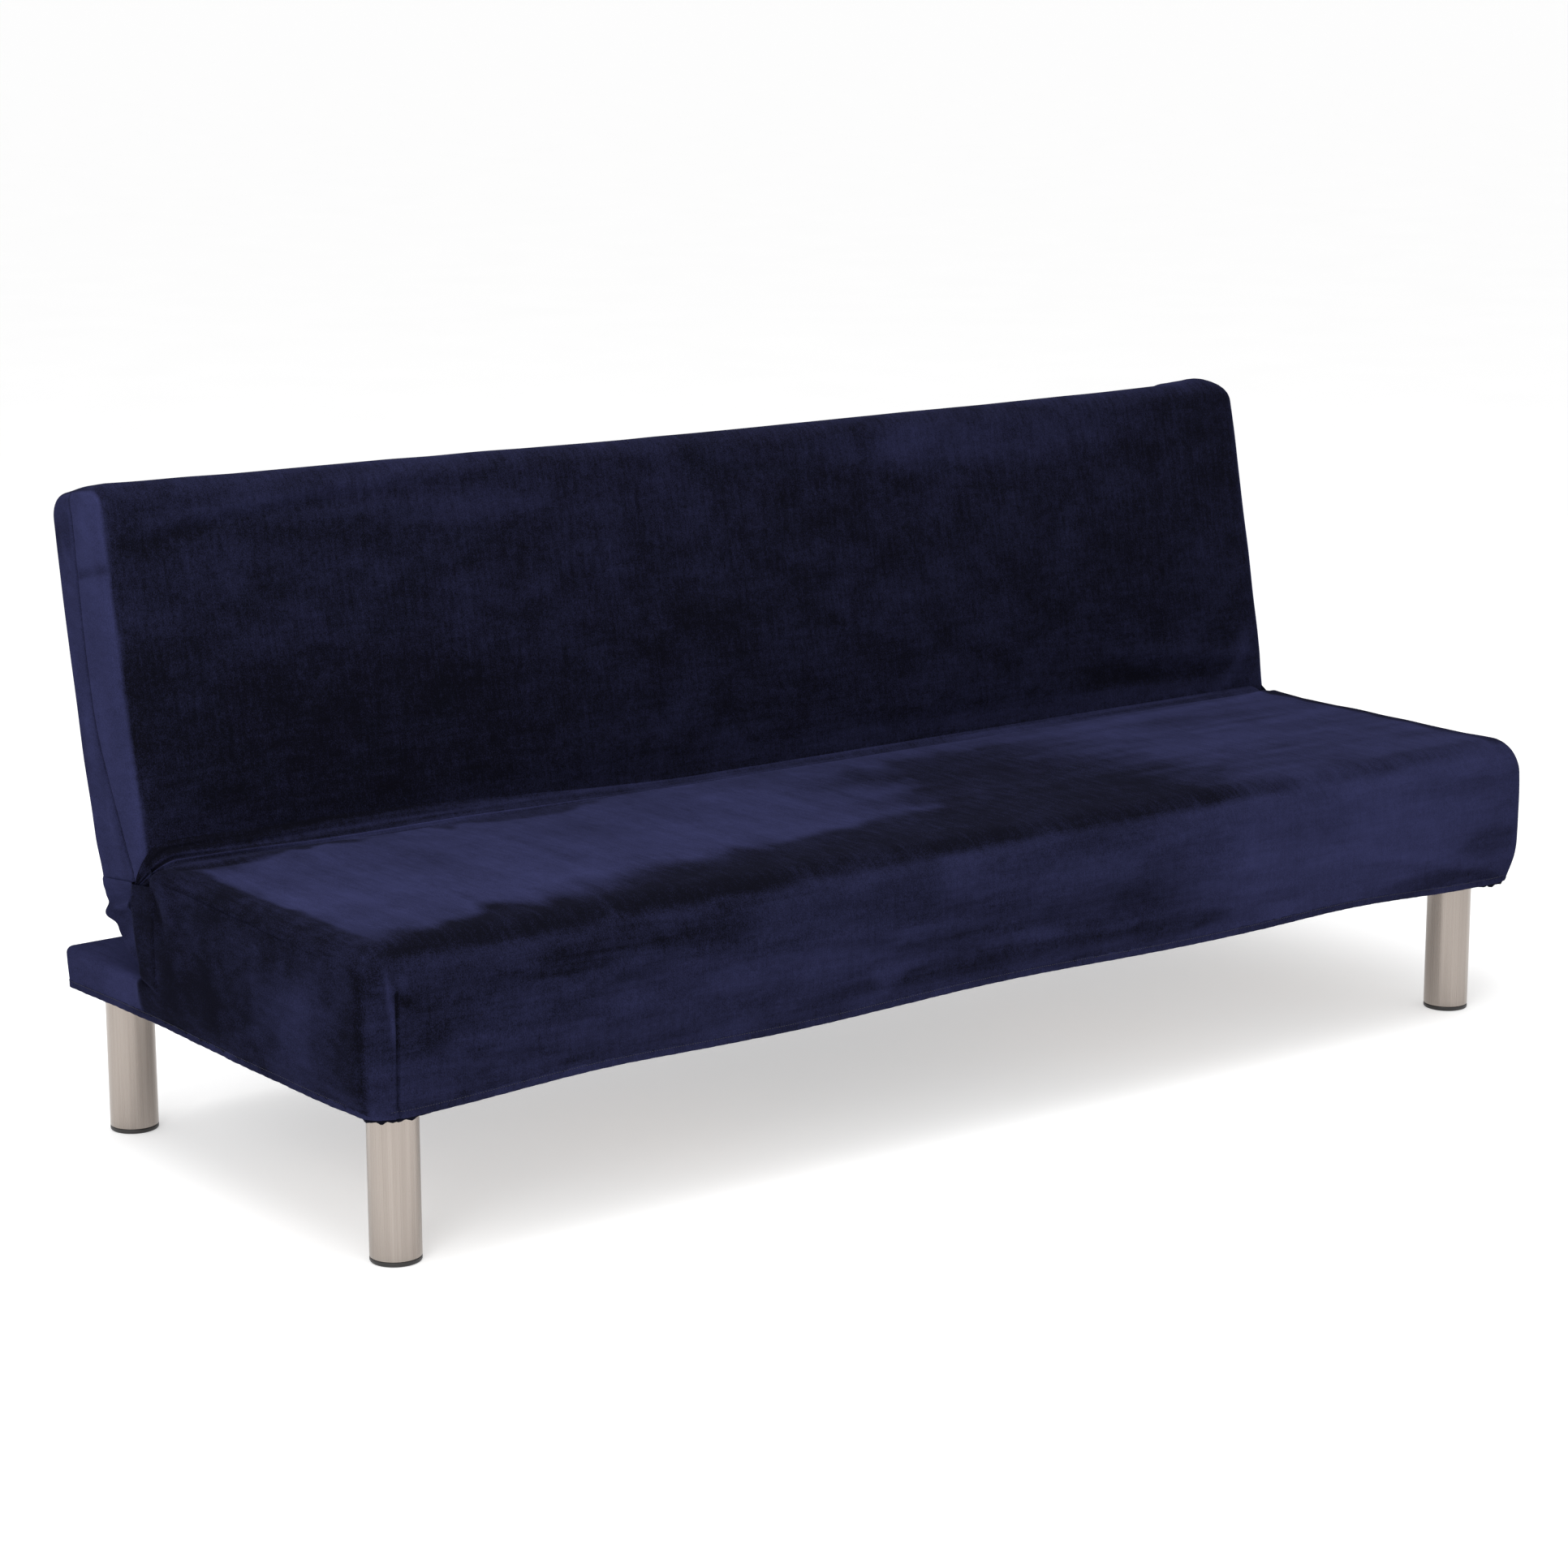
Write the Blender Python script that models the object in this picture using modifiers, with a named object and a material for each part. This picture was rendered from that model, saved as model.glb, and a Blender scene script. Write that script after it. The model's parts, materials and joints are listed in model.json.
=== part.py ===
"""Futon sofa bed: an armless click-clack sofa under a stretch velvet slipcover.

Units are metres and +Z is up. The origin is on the floor under the middle of the sofa, +X runs along
its length and +Y to its back. The backrest and its half of each hinge are placed in the back's own
frame: an empty on the hinge axis, with its Z axis up the backrest and its Y axis to the rear.
"""

import math

import bmesh
import bpy
from mathutils import Matrix, Vector

# ---------------------------------------------------------------- driving dimensions
LENGTH = 1.851                  # over the cover, end to end
DEPTH = 0.730                   # front face to rear edge of the ledge
SEAT_DEPTH = 0.494              # front face to the seat's rear edge
SEAT_TOP = 0.380                # height of the sitting surface
HEM_HEIGHT = 0.188              # height of the cover's lower edge
BACK_INSET = 0.003              # end of the seat to the end of the back
BACK_HEIGHT = 0.480             # from the hinge axis to the top, along the back
BACK_THICKNESS = 0.128
BACK_TILT = math.radians(11.5)  # lean of the upright back

HINGE_DROP = 0.024              # hinge axis below the sitting surface
CREASE = 0.0066                 # seat to back, measured at the sitting surface
BACK_FOOT = 0.004               # lower edge of the back above the hinge axis
LEDGE_REST = 0.012              # room between the lowered back and the ledge

COVER = 0.002                   # cloth of the slipcover
SLACK = 0.001                   # cover to what it covers
GAP = 0.0003                    # between pieces that touch
FRONT_RADIUS = 0.045            # front top edge of the seat
END_RADIUS = 0.025              # edges at the seat's ends
LOW_RADIUS = 0.010              # edges of the ledge
BACK_RADIUS = 0.030             # top edges of the back
BACK_END_RADIUS = 0.025         # upright edges of the back

LEG_DIAMETER = 0.060
LEG_WALL = 0.0015
LEG_CAP = 0.003                 # closed top of the tube
LEG_INSET = 0.068               # leg axis from the end and from the front
REAR_LEG_INSET = 0.040          # leg axis from the rear edge
FOOT_HEIGHT = 0.006
FOOT_PLUG = 0.015               # part of the foot inside the tube
FOOT_EDGE = 0.0012              # chamfer round the sole
LEG_PLATE = 0.088               # side of the square mounting plate
PLATE_THICKNESS = 0.004
STUD_DIAMETER = 0.010
STUD_LENGTH = 0.022
STUD_HOLE = 0.011

TUBE_WALL = 0.0015              # wall of the square frame tubes
RAIL_WIDTH = 0.032              # base rails, seen from above
BEARER_WIDTH = 0.030            # seat bearers, front to back
BEARER_HEIGHT = 0.020
BEARER_INSET = 0.020            # bearers from the front and rear of the seat
BEARER_END_ROOM = 0.010         # bearers' ends to the foam's ends
SEAT_SLATS = 5
END_SLAT = 0.120                # middle of the end slats to the foam's end
SLAT_INSET = 0.015              # slats' ends from the front and rear of the seat
SEAT_SLAT_WIDTH = 0.068
SLAT_THICKNESS = 0.012
STILE = 0.029                   # side of the back's square stiles
CORNER_ROOM = 0.003             # frames to the covers beside a round edge of the cover
HEM_ROOM = 0.012                # front rail to the cover, which its hem draws in at the corners
BACK_RAIL_HEIGHT = 0.030
BACK_RAIL_LIFT = 0.012          # bottom rail above the foot of the stiles
BACK_SLATS = 4
BACK_SLAT_WIDTH = 0.070
BACK_SLAT_THICKNESS = 0.010
SLAT_LAP = 0.004                # back slats' ends short of the rails' outer edges

HINGE_PLATE = 0.005             # thickness of bracket, arm and pawl
HINGE_ROOM = 0.032              # end of the foam to the outside of the cover
BRACKET_FOOT = 0.090            # length of the bracket's foot on the side rail
BRACKET_INSET = 0.009           # rear end of that foot to the seat's rear edge
BRACKET_BOLT_EDGE = 0.017       # bolts from the ends of that foot
HEAD_RADIUS = 0.018             # round heads of bracket and arm about the hinge axis
RIVET_DIAMETER = 0.010
RIVET_HEAD = 0.0022             # its height
RIVET_HEAD_DIAMETER = 0.018
RUNNING = 0.0001                # radial clearance of a turning shank in its hole
TOOTH_DEPTH = 0.0030
TOOTH_STEP = math.radians(22.0)
TEETH = 4
PAWL_ANGLE = math.radians(215)  # where the pawl meets the toothed head, from +Y towards +Z
PAWL_LENGTH = 0.035             # pin to nose
PAWL_TAIL = 0.018               # pin to tail
PAWL_WIDTH = 0.006
PAWL_HUB = 0.0072               # radius round its pin
PAWL_PIN_DIAMETER = 0.006
PAWL_STANDOFF = 0.0004          # nose to the tips of the teeth
BOLT_DIAMETER = 0.008
BOLT_HOLE = 0.0088
BOLT_HEAD_ACROSS = 0.013
BOLT_HEAD_HEIGHT = 0.004
ARM_BOLT_START = 0.090          # first arm bolt from the hinge axis
ARM_BOLT_PITCH = 0.080
ARM_END = 0.022                 # arm beyond its last bolt
SPRING_COIL = 0.0019            # mean radius of the spring's coils
SPRING_WIRE = 0.0005            # radius of its wire
SPRING_TURNS = 7
SPRING_LENGTH = 0.026

ROUND_STEPS = 32
FOAM_STEPS = 4

# ---------------------------------------------------------------- sizes that follow
END = LENGTH / 2
FRONT = -DEPTH / 2
REAR = DEPTH / 2
SEAT_REAR = FRONT + SEAT_DEPTH
SKIN = COVER + SLACK
LEDGE_TOP = SEAT_TOP - BACK_THICKNESS - LEDGE_REST

# The hinge axis is equally far from the sitting surface and from the face of the upright back, so
# that both faces lie level when the back is down.
HINGE_Y = SEAT_REAR + CREASE + HINGE_DROP * (1 / math.cos(BACK_TILT) - math.tan(BACK_TILT))
HINGE_Z = SEAT_TOP - HINGE_DROP
BACK_FACE = -HINGE_DROP                       # in the back's frame, along its Y
BACK_REAR = BACK_FACE + BACK_THICKNESS
BACK_END = END - BACK_INSET

LEG_RADIUS = LEG_DIAMETER / 2
PLATE_BOTTOM = HEM_HEIGHT + COVER
LEG_TOP = PLATE_BOTTOM - GAP
RAIL_BOTTOM = PLATE_BOTTOM + PLATE_THICKNESS + GAP
RAIL_TOP = LEDGE_TOP - SKIN - CORNER_ROOM
BEARER_BOTTOM = RAIL_TOP + GAP
SLAT_BOTTOM = BEARER_BOTTOM + BEARER_HEIGHT + GAP
FOAM_BOTTOM = SLAT_BOTTOM + SLAT_THICKNESS + GAP

FOAM_END = END - HINGE_ROOM
BRACKET_IN = FOAM_END + 0.0025 + RIVET_HEAD   # inner face of the bracket plate
ARM_IN = BRACKET_IN + HINGE_PLATE + GAP
ARM_OUT = ARM_IN + HINGE_PLATE
RAIL_END = BRACKET_IN - GAP                   # outer face of the base's side rails
STILE_END = ARM_IN - GAP                      # outer face of the back's stiles
FRAME_REAR = BACK_REAR - SKIN - CORNER_ROOM   # rear face of the back's frame
STILE_FRONT = FRAME_REAR - STILE
SIDES = (("left", -1), ("right", 1))


# ---------------------------------------------------------------- helpers
def clear_scene():
    for obj in list(bpy.data.objects):
        bpy.data.objects.remove(obj, do_unlink=True)


def make_collection(name):
    collection = bpy.data.collections.new(name)
    bpy.context.scene.collection.children.link(collection)
    return collection


clear_scene()
PARTS = make_collection("futon_sofa_bed")
CUTTERS = make_collection("cutters")


def make_material(name, colour, roughness, metallic=0.0):
    material = bpy.data.materials.new(name)
    material.use_nodes = True
    shader = material.node_tree.nodes["Principled BSDF"]
    shader.inputs["Base Color"].default_value = (*colour, 1.0)
    shader.inputs["Roughness"].default_value = roughness
    shader.inputs["Metallic"].default_value = metallic
    return material


VELVET = make_material("navy_velvet", (0.020, 0.021, 0.075), 0.85)
FOAM = make_material("upholstery_foam", (0.36, 0.36, 0.37), 0.95)
FRAME_PAINT = make_material("black_frame_paint", (0.030, 0.030, 0.032), 0.45)
BEECH = make_material("beech_slat", (0.62, 0.43, 0.24), 0.55)
STAINLESS = make_material("brushed_stainless", (0.60, 0.58, 0.55), 0.32, 1.0)
ZINC = make_material("zinc_plated_steel", (0.62, 0.62, 0.60), 0.35, 1.0)
PLASTIC = make_material("black_plastic", (0.025, 0.022, 0.022), 0.50)


def add_object(name, mesh, material, parent=None):
    obj = bpy.data.objects.new(name, mesh)
    PARTS.objects.link(obj)
    if material:
        mesh.materials.clear()
        mesh.materials.append(material)
    obj.parent = parent
    return obj


def freeze(obj):
    """Replaces an object's curve or modifiers by the mesh that they make."""
    bpy.context.view_layer.update()
    graph = bpy.context.evaluated_depsgraph_get()
    mesh = bpy.data.meshes.new_from_object(obj.evaluated_get(graph))
    bm = bmesh.new()
    bm.from_mesh(mesh)
    bmesh.ops.remove_doubles(bm, verts=bm.verts, dist=1e-6)
    bm.to_mesh(mesh)
    bm.free()
    if obj.type == "CURVE":
        name, parent, place = obj.name, obj.parent, obj.matrix_basis.copy()
        collection = obj.users_collection[0]
        bpy.data.objects.remove(obj)
        obj = bpy.data.objects.new(name, mesh)
        collection.objects.link(obj)
        obj.parent = parent
        obj.matrix_basis = place
    else:
        obj.modifiers.clear()
        obj.data = mesh
    return obj


def shade(obj):
    obj.data.shade_smooth()
    obj.data.set_sharp_from_angle(angle=math.radians(35))
    return obj


def middle(low, high):
    return (Vector(low) + Vector(high)) / 2


def box(name, low, high, material, parent=None):
    """A plain block between two corners."""
    size = Vector(high) - Vector(low)
    bm = bmesh.new()
    bmesh.ops.create_cube(bm, size=1.0, matrix=Matrix.Diagonal((*size, 1.0)))
    mesh = bpy.data.meshes.new(name)
    bm.to_mesh(mesh)
    bm.free()
    obj = add_object(name, mesh, material, parent)
    obj.location = middle(low, high)
    return obj


def soft_box(name, low, high, material, rounding, parent=None, open_sides=(), steps=FOAM_STEPS):
    """A block whose edges are rounded, each with its own radius.

    rounding gives a radius for pairs of sides such as ("-y", "+z"). With open_sides the block becomes
    a shell of cloth inside the same outline, open on those sides.
    """
    obj = box(name, low, high, material, parent)
    widest = max(rounding.values())
    bm = bmesh.new()
    bm.from_mesh(obj.data)
    weight = bm.edges.layers.float.new("bevel_weight_edge")

    def side(face):
        axis = max(range(3), key=lambda i: abs(face.normal[i]))
        return ("-" if face.normal[axis] < 0 else "+") + "xyz"[axis]

    for edge in bm.edges:
        sides = {side(face) for face in edge.link_faces}
        for pair, radius in rounding.items():
            if sides == set(pair):
                edge[weight] = radius / widest
    opened = [face for face in bm.faces if side(face) in open_sides]
    bmesh.ops.delete(bm, geom=opened, context="FACES")
    bm.to_mesh(obj.data)
    bm.free()
    bevel = obj.modifiers.new("round", "BEVEL")
    bevel.limit_method = "WEIGHT"
    bevel.width = widest
    bevel.segments = steps
    if open_sides:
        cloth = obj.modifiers.new("cloth", "SOLIDIFY")
        cloth.thickness = COVER
        cloth.offset = -1
        cloth.use_even_offset = True
    return shade(freeze(obj))


def spline(curve, points):
    """A closed polygon in a flat curve."""
    line = curve.splines.new("POLY")
    line.points.add(len(points) - 1)
    for target, (x, y) in zip(line.points, points):
        target.co = (x, y, 0, 1)
    line.use_cyclic_u = True


# Local X, Y and Z of a flat outline go to these directions: a plate that faces along X is drawn in
# (Y, Z), one that faces along Y in (Z, X), and one that faces along Z in (X, Y).
FACING = {
    "x": Matrix(((0, 0, 1), (1, 0, 0), (0, 1, 0))),
    "y": Matrix(((0, 1, 0), (0, 0, 1), (1, 0, 0))),
    "z": Matrix.Identity(3),
}


def plate(name, outlines, facing, start, end, material, parent=None):
    """Flat outlines, the later ones holes in the first, drawn out along one axis from start to end."""
    curve = bpy.data.curves.new(name, "CURVE")
    curve.dimensions = "2D"
    curve.fill_mode = "BOTH"
    curve.extrude = abs(end - start) / 2
    for outline in outlines:
        spline(curve, outline)
    obj = add_object(name, curve, material, parent)
    turn = FACING[facing]
    shift = turn @ Vector((0, 0, (start + end) / 2))
    obj.matrix_basis = Matrix.Translation(shift) @ turn.to_4x4()
    return shade(freeze(obj))


def circle(centre, radius, steps=ROUND_STEPS // 2):
    """Points of a polygon whose flats touch the circle."""
    reach = radius / math.cos(math.pi / steps)
    turns = [2 * math.pi * (i + 0.5) / steps for i in range(steps)]
    return [(centre[0] + reach * math.cos(a), centre[1] + reach * math.sin(a)) for a in turns]


def arc(centre, radius, start, end, steps=8):
    turns = [start + (end - start) * i / steps for i in range(steps + 1)]
    return [(centre[0] + radius * math.cos(a), centre[1] + radius * math.sin(a)) for a in turns]


def rectangle(low, high):
    return [(low[0], low[1]), (high[0], low[1]), (high[0], high[1]), (low[0], high[1])]


def hollow_rail(name, facing, low, high, start, end, material, parent=None):
    """A rectangular tube, open at both ends, whose section spans low to high."""
    inner_low = (low[0] + TUBE_WALL, low[1] + TUBE_WALL)
    inner_high = (high[0] - TUBE_WALL, high[1] - TUBE_WALL)
    outlines = [rectangle(low, high), rectangle(inner_low, inner_high)]
    return plate(name, outlines, facing, start, end, material, parent)


def turned(name, profile, material, closed=False, parent=None):
    """A profile of (radius, height) points, outer side from top to bottom, turned about local Z."""
    mesh = bpy.data.meshes.new(name)
    edges = [(i, i + 1) for i in range(len(profile) - 1)]
    if closed:
        edges.append((len(profile) - 1, 0))
    mesh.from_pydata([(radius, 0.0, height) for radius, height in profile], edges, [])
    obj = add_object(name, mesh, material, parent)
    screw = obj.modifiers.new("turn", "SCREW")
    screw.steps = screw.render_steps = ROUND_STEPS
    screw.use_merge_vertices = True
    screw.merge_threshold = 1e-5
    return shade(freeze(obj))


def lying_along_x(obj, centre, side):
    """Turns a piece that was made about Z so that its Z points outboard along X."""
    turn = Matrix.Rotation(side * math.pi / 2, 4, "Y")
    obj.matrix_basis = Matrix.Translation(Vector(centre)) @ turn
    return obj


def make_helper(obj):
    """Keeps an object only as the operand of a Boolean."""
    for collection in list(obj.users_collection):
        collection.objects.unlink(obj)
    CUTTERS.objects.link(obj)
    obj.hide_render = True
    obj.display_type = "WIRE"


def drill(obj, centre, diameter, length=0.2):
    """A hole along X through a piece, which stays a mesh with the cut made."""
    bm = bmesh.new()
    bmesh.ops.create_cone(
        bm, cap_ends=True, segments=ROUND_STEPS // 2, radius1=diameter / 2, radius2=diameter / 2,
        depth=length, matrix=Matrix.Rotation(math.pi / 2, 4, "Y"))
    mesh = bpy.data.meshes.new(obj.name + "_drill")
    bm.to_mesh(mesh)
    bm.free()
    cutter = add_object(obj.name + "_drill", mesh, None, obj.parent)
    cutter.location = centre
    make_helper(cutter)
    cut = obj.modifiers.new("drill", "BOOLEAN")
    cut.operation = "DIFFERENCE"
    cut.object = cutter
    return obj


def bolt(name, seat, side, reach, parent=None):
    """A hexagon bolt along X: its head rests at seat and its shank reaches inboard."""
    across = BOLT_HEAD_ACROSS / math.sqrt(3)
    bm = bmesh.new()
    head = Matrix.Translation((0, 0, BOLT_HEAD_HEIGHT / 2))
    bmesh.ops.create_cone(
        bm, cap_ends=True, segments=6, radius1=across, radius2=across, depth=BOLT_HEAD_HEIGHT,
        matrix=head)
    under = min(bm.faces, key=lambda face: face.calc_center_median().z)
    bmesh.ops.inset_individual(bm, faces=[under], thickness=across - BOLT_DIAMETER / 2)
    shank = bmesh.ops.extrude_face_region(bm, geom=[under])
    points = [item for item in shank["geom"] if isinstance(item, bmesh.types.BMVert)]
    bmesh.ops.translate(bm, verts=points, vec=(0, 0, -reach))
    bmesh.ops.delete(bm, geom=[under], context="FACES_ONLY")
    bmesh.ops.recalc_face_normals(bm, faces=bm.faces)
    mesh = bpy.data.meshes.new(name)
    bm.to_mesh(mesh)
    bm.free()
    return lying_along_x(add_object(name, mesh, ZINC, parent), seat, side)


# ---------------------------------------------------------------- legs
def build_legs():
    across = END - LEG_INSET
    places = {
        "front": FRONT + LEG_INSET,
        "rear": REAR - REAR_LEG_INSET,
    }
    for row, y in places.items():
        for name, side in SIDES:
            build_leg(f"{row}_{name}", side * across, y)


def build_leg(name, x, y):
    bore = LEG_RADIUS - LEG_WALL
    hole = STUD_HOLE / 2
    tube = turned(f"leg_tube_{name}", [
        (hole, LEG_TOP),
        (LEG_RADIUS, LEG_TOP),
        (LEG_RADIUS, FOOT_HEIGHT + GAP),
        (bore, FOOT_HEIGHT + GAP),
        (bore, LEG_TOP - LEG_CAP),
        (hole, LEG_TOP - LEG_CAP),
    ], STAINLESS, closed=True)
    tube.location = (x, y, 0)
    foot = turned(f"leg_foot_{name}", [
        (0, FOOT_HEIGHT + FOOT_PLUG),
        (bore - GAP, FOOT_HEIGHT + FOOT_PLUG),
        (bore - GAP, FOOT_HEIGHT),
        (LEG_RADIUS, FOOT_HEIGHT),
        (LEG_RADIUS, FOOT_EDGE),
        (LEG_RADIUS - FOOT_EDGE, 0),
        (0, 0),
    ], PLASTIC)
    foot.location = (x, y, 0)
    half = LEG_PLATE / 2
    # The plate stays inside the cover where the leg stands close to an edge.
    low = (max(x - half, -END + SKIN), max(y - half, FRONT + SKIN), PLATE_BOTTOM)
    high = (min(x + half, END - SKIN), min(y + half, REAR - SKIN), PLATE_BOTTOM + PLATE_THICKNESS)
    mount = box(f"leg_plate_{name}", low, high, ZINC)
    stud = turned(f"leg_stud_{name}", [
        (0, PLATE_BOTTOM + PLATE_THICKNESS / 2),
        (STUD_DIAMETER / 2, PLATE_BOTTOM + PLATE_THICKNESS / 2),
        (STUD_DIAMETER / 2, PLATE_BOTTOM - STUD_LENGTH),
        (0, PLATE_BOTTOM - STUD_LENGTH),
    ], ZINC)
    stud.location = (x, y, 0)
    make_helper(stud)
    weld = mount.modifiers.new("stud", "BOOLEAN")
    weld.operation = "UNION"
    weld.object = stud


# ---------------------------------------------------------------- base frame
def build_base_frame():
    front = FRONT + COVER + HEM_ROOM
    rear = REAR - SKIN - CORNER_ROOM
    section = (RAIL_BOTTOM, RAIL_TOP)
    # A rail along X is drawn in (Y, Z) and one along Y in (Z, X).
    for name, y in (("front", front), ("rear", rear - RAIL_WIDTH)):
        hollow_rail(
            f"base_{name}_rail", "x", (y, section[0]), (y + RAIL_WIDTH, section[1]),
            -RAIL_END, RAIL_END, FRAME_PAINT)
    start = front + RAIL_WIDTH + GAP
    end = rear - RAIL_WIDTH - GAP
    inner = RAIL_END - RAIL_WIDTH
    for name, x in (("left", -RAIL_END), ("centre", -RAIL_WIDTH / 2), ("right", inner)):
        rail = hollow_rail(
            f"base_{name}_rail", "y", (section[0], x), (section[1], x + RAIL_WIDTH),
            start, end, FRAME_PAINT)
        if name != "centre":
            for y in bracket_bolts():
                drill(rail, (x + RAIL_WIDTH / 2, y, rail_middle()), BOLT_HOLE)


def rail_middle():
    return (RAIL_BOTTOM + RAIL_TOP) / 2


def bracket_foot():
    """Front and rear end of the hinge bracket's foot on the side rail."""
    rear = SEAT_REAR - BRACKET_INSET
    return rear - BRACKET_FOOT, rear


def bracket_bolts():
    front, rear = bracket_foot()
    return front + BRACKET_BOLT_EDGE, rear - BRACKET_BOLT_EDGE


# ---------------------------------------------------------------- seat
def spread(count, reach):
    """Evenly spaced places from -reach to reach."""
    return [reach * (2 * i / (count - 1) - 1) for i in range(count)]


def build_seat():
    front = FRONT + SKIN
    rear = SEAT_REAR - SLACK
    end = FOAM_END - BEARER_END_ROOM
    top = BEARER_BOTTOM + BEARER_HEIGHT
    for name, y in (("front", front + BEARER_INSET), ("rear", rear - BEARER_INSET - BEARER_WIDTH)):
        hollow_rail(
            f"seat_{name}_bearer", "x", (y, BEARER_BOTTOM), (y + BEARER_WIDTH, top), -end, end,
            FRAME_PAINT)
    for i, x in enumerate(spread(SEAT_SLATS, FOAM_END - END_SLAT)):
        box(
            f"seat_slat_{i + 1}", (x - SEAT_SLAT_WIDTH / 2, front + SLAT_INSET, SLAT_BOTTOM),
            (x + SEAT_SLAT_WIDTH / 2, rear - SLAT_INSET, SLAT_BOTTOM + SLAT_THICKNESS), BEECH)
    soft_box(
        "seat_foam", (-FOAM_END, front, FOAM_BOTTOM), (FOAM_END, rear, SEAT_TOP - SKIN), FOAM, {
            ("-y", "+z"): FRONT_RADIUS - SKIN,
            ("-x", "+z"): END_RADIUS - SKIN,
            ("+x", "+z"): END_RADIUS - SKIN,
            ("-x", "-y"): END_RADIUS - SKIN,
            ("+x", "-y"): END_RADIUS - SKIN,
        })


def build_base_covers():
    soft_box(
        "seat_cover", (-END, FRONT, HEM_HEIGHT), (END, SEAT_REAR, SEAT_TOP), VELVET, {
            ("-y", "+z"): FRONT_RADIUS,
            ("-x", "+z"): END_RADIUS,
            ("+x", "+z"): END_RADIUS,
            ("-x", "-y"): END_RADIUS,
            ("+x", "-y"): END_RADIUS,
        }, open_sides=("+y", "-z"))
    soft_box(
        "ledge_cover", (-END, SEAT_REAR + GAP, HEM_HEIGHT), (END, REAR, LEDGE_TOP), VELVET, {
            ("+y", "+z"): LOW_RADIUS,
            ("-x", "+z"): LOW_RADIUS / 2,
            ("+x", "+z"): LOW_RADIUS / 2,
            ("-x", "+y"): LOW_RADIUS,
            ("+x", "+y"): LOW_RADIUS,
        }, open_sides=("-y", "-z"), steps=3)


# ---------------------------------------------------------------- hinges
def pawl_places():
    """Nose, pin and tail of the pawl in (Y, Z), and its direction from the pin to the nose."""
    reach = HEAD_RADIUS + PAWL_STANDOFF
    towards = Vector((math.cos(PAWL_ANGLE), math.sin(PAWL_ANGLE)))
    nose = Vector((HINGE_Y, HINGE_Z)) + reach * towards
    along = Vector((0.30, 0.954)).normalized()
    pin = nose - PAWL_LENGTH * along
    tail = pin - PAWL_TAIL * along
    return nose, pin, tail, along


def hinge_side(name, side):
    """Bracket, pivot rivet, pawl, pawl pin and pawl spring of one end of the sofa."""
    axis = (HINGE_Y, HINGE_Z)
    nose, pin, tail, along = pawl_places()
    front, rear = bracket_foot()
    bottom = RAIL_BOTTOM + COVER
    head = arc(axis, HEAD_RADIUS, math.radians(-20), math.radians(125), 10)
    outline = [
        (front, bottom), (rear, bottom), (rear, RAIL_TOP + 0.010), (pin.x + 0.014, pin.y - 0.014),
        *head, (pin.x - 0.035, pin.y - 0.010), (front, RAIL_TOP),
    ]
    inner, outer = sorted((side * BRACKET_IN, side * (BRACKET_IN + HINGE_PLATE)))
    holes = [
        circle(axis, RIVET_DIAMETER / 2 + GAP),
        circle(tuple(pin), PAWL_PIN_DIAMETER / 2 + GAP),
        *[circle((y, rail_middle()), BOLT_HOLE / 2) for y in bracket_bolts()],
    ]
    plate(f"hinge_bracket_{name}", [outline, *holes], "x", inner, outer, ZINC)

    rivet_in = BRACKET_IN - GAP
    rivet_out = ARM_OUT + GAP
    shank = RIVET_DIAMETER / 2
    button = RIVET_HEAD_DIAMETER / 2
    rivet = turned(f"hinge_rivet_{name}", [
        (0, rivet_out + RIVET_HEAD), (button, rivet_out + RIVET_HEAD), (button, rivet_out),
        (shank, rivet_out), (shank, rivet_in), (button, rivet_in),
        (button, rivet_in - RIVET_HEAD), (0, rivet_in - RIVET_HEAD),
    ], ZINC)
    lying_along_x(rivet, (0, *axis), side)

    flank = Vector((-along.y, along.x))
    half = PAWL_WIDTH / 2
    turn = math.atan2(along.y, along.x)
    lever = [
        *arc(tuple(pin), PAWL_HUB, turn + math.radians(60), turn + math.radians(150), 5),
        tuple(tail + half * flank), tuple(tail - half * flank),
        *arc(tuple(pin), PAWL_HUB, turn - math.radians(150), turn - math.radians(60), 5),
        tuple(nose - 0.007 * along - half * flank), tuple(nose - 0.0008 * along - 0.0006 * flank),
        tuple(nose - half * along + 0.0022 * flank),
    ]
    inner, outer = sorted((side * ARM_IN, side * ARM_OUT))
    plate(
        f"pawl_{name}", [lever, circle(tuple(pin), PAWL_PIN_DIAMETER / 2 + RUNNING)], "x",
        inner, outer, ZINC)
    pin_radius = PAWL_PIN_DIAMETER / 2
    pawl_pin = turned(f"pawl_pin_{name}", [
        (0, rivet_out + 0.0015), (0.0050, rivet_out + 0.0015), (0.0050, rivet_out),
        (pin_radius, rivet_out), (pin_radius, BRACKET_IN), (0, BRACKET_IN),
    ], ZINC)
    lying_along_x(pawl_pin, (0, *pin), side)
    pawl_spring(f"pawl_spring_{name}", side, tail)

    for i, y in enumerate(bracket_bolts()):
        seat = (side * (BRACKET_IN + HINGE_PLATE + GAP), y, rail_middle())
        bolt(f"bracket_bolt_{name}_{i + 1}", seat, side, HINGE_PLATE + RAIL_WIDTH + 0.004)


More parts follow.
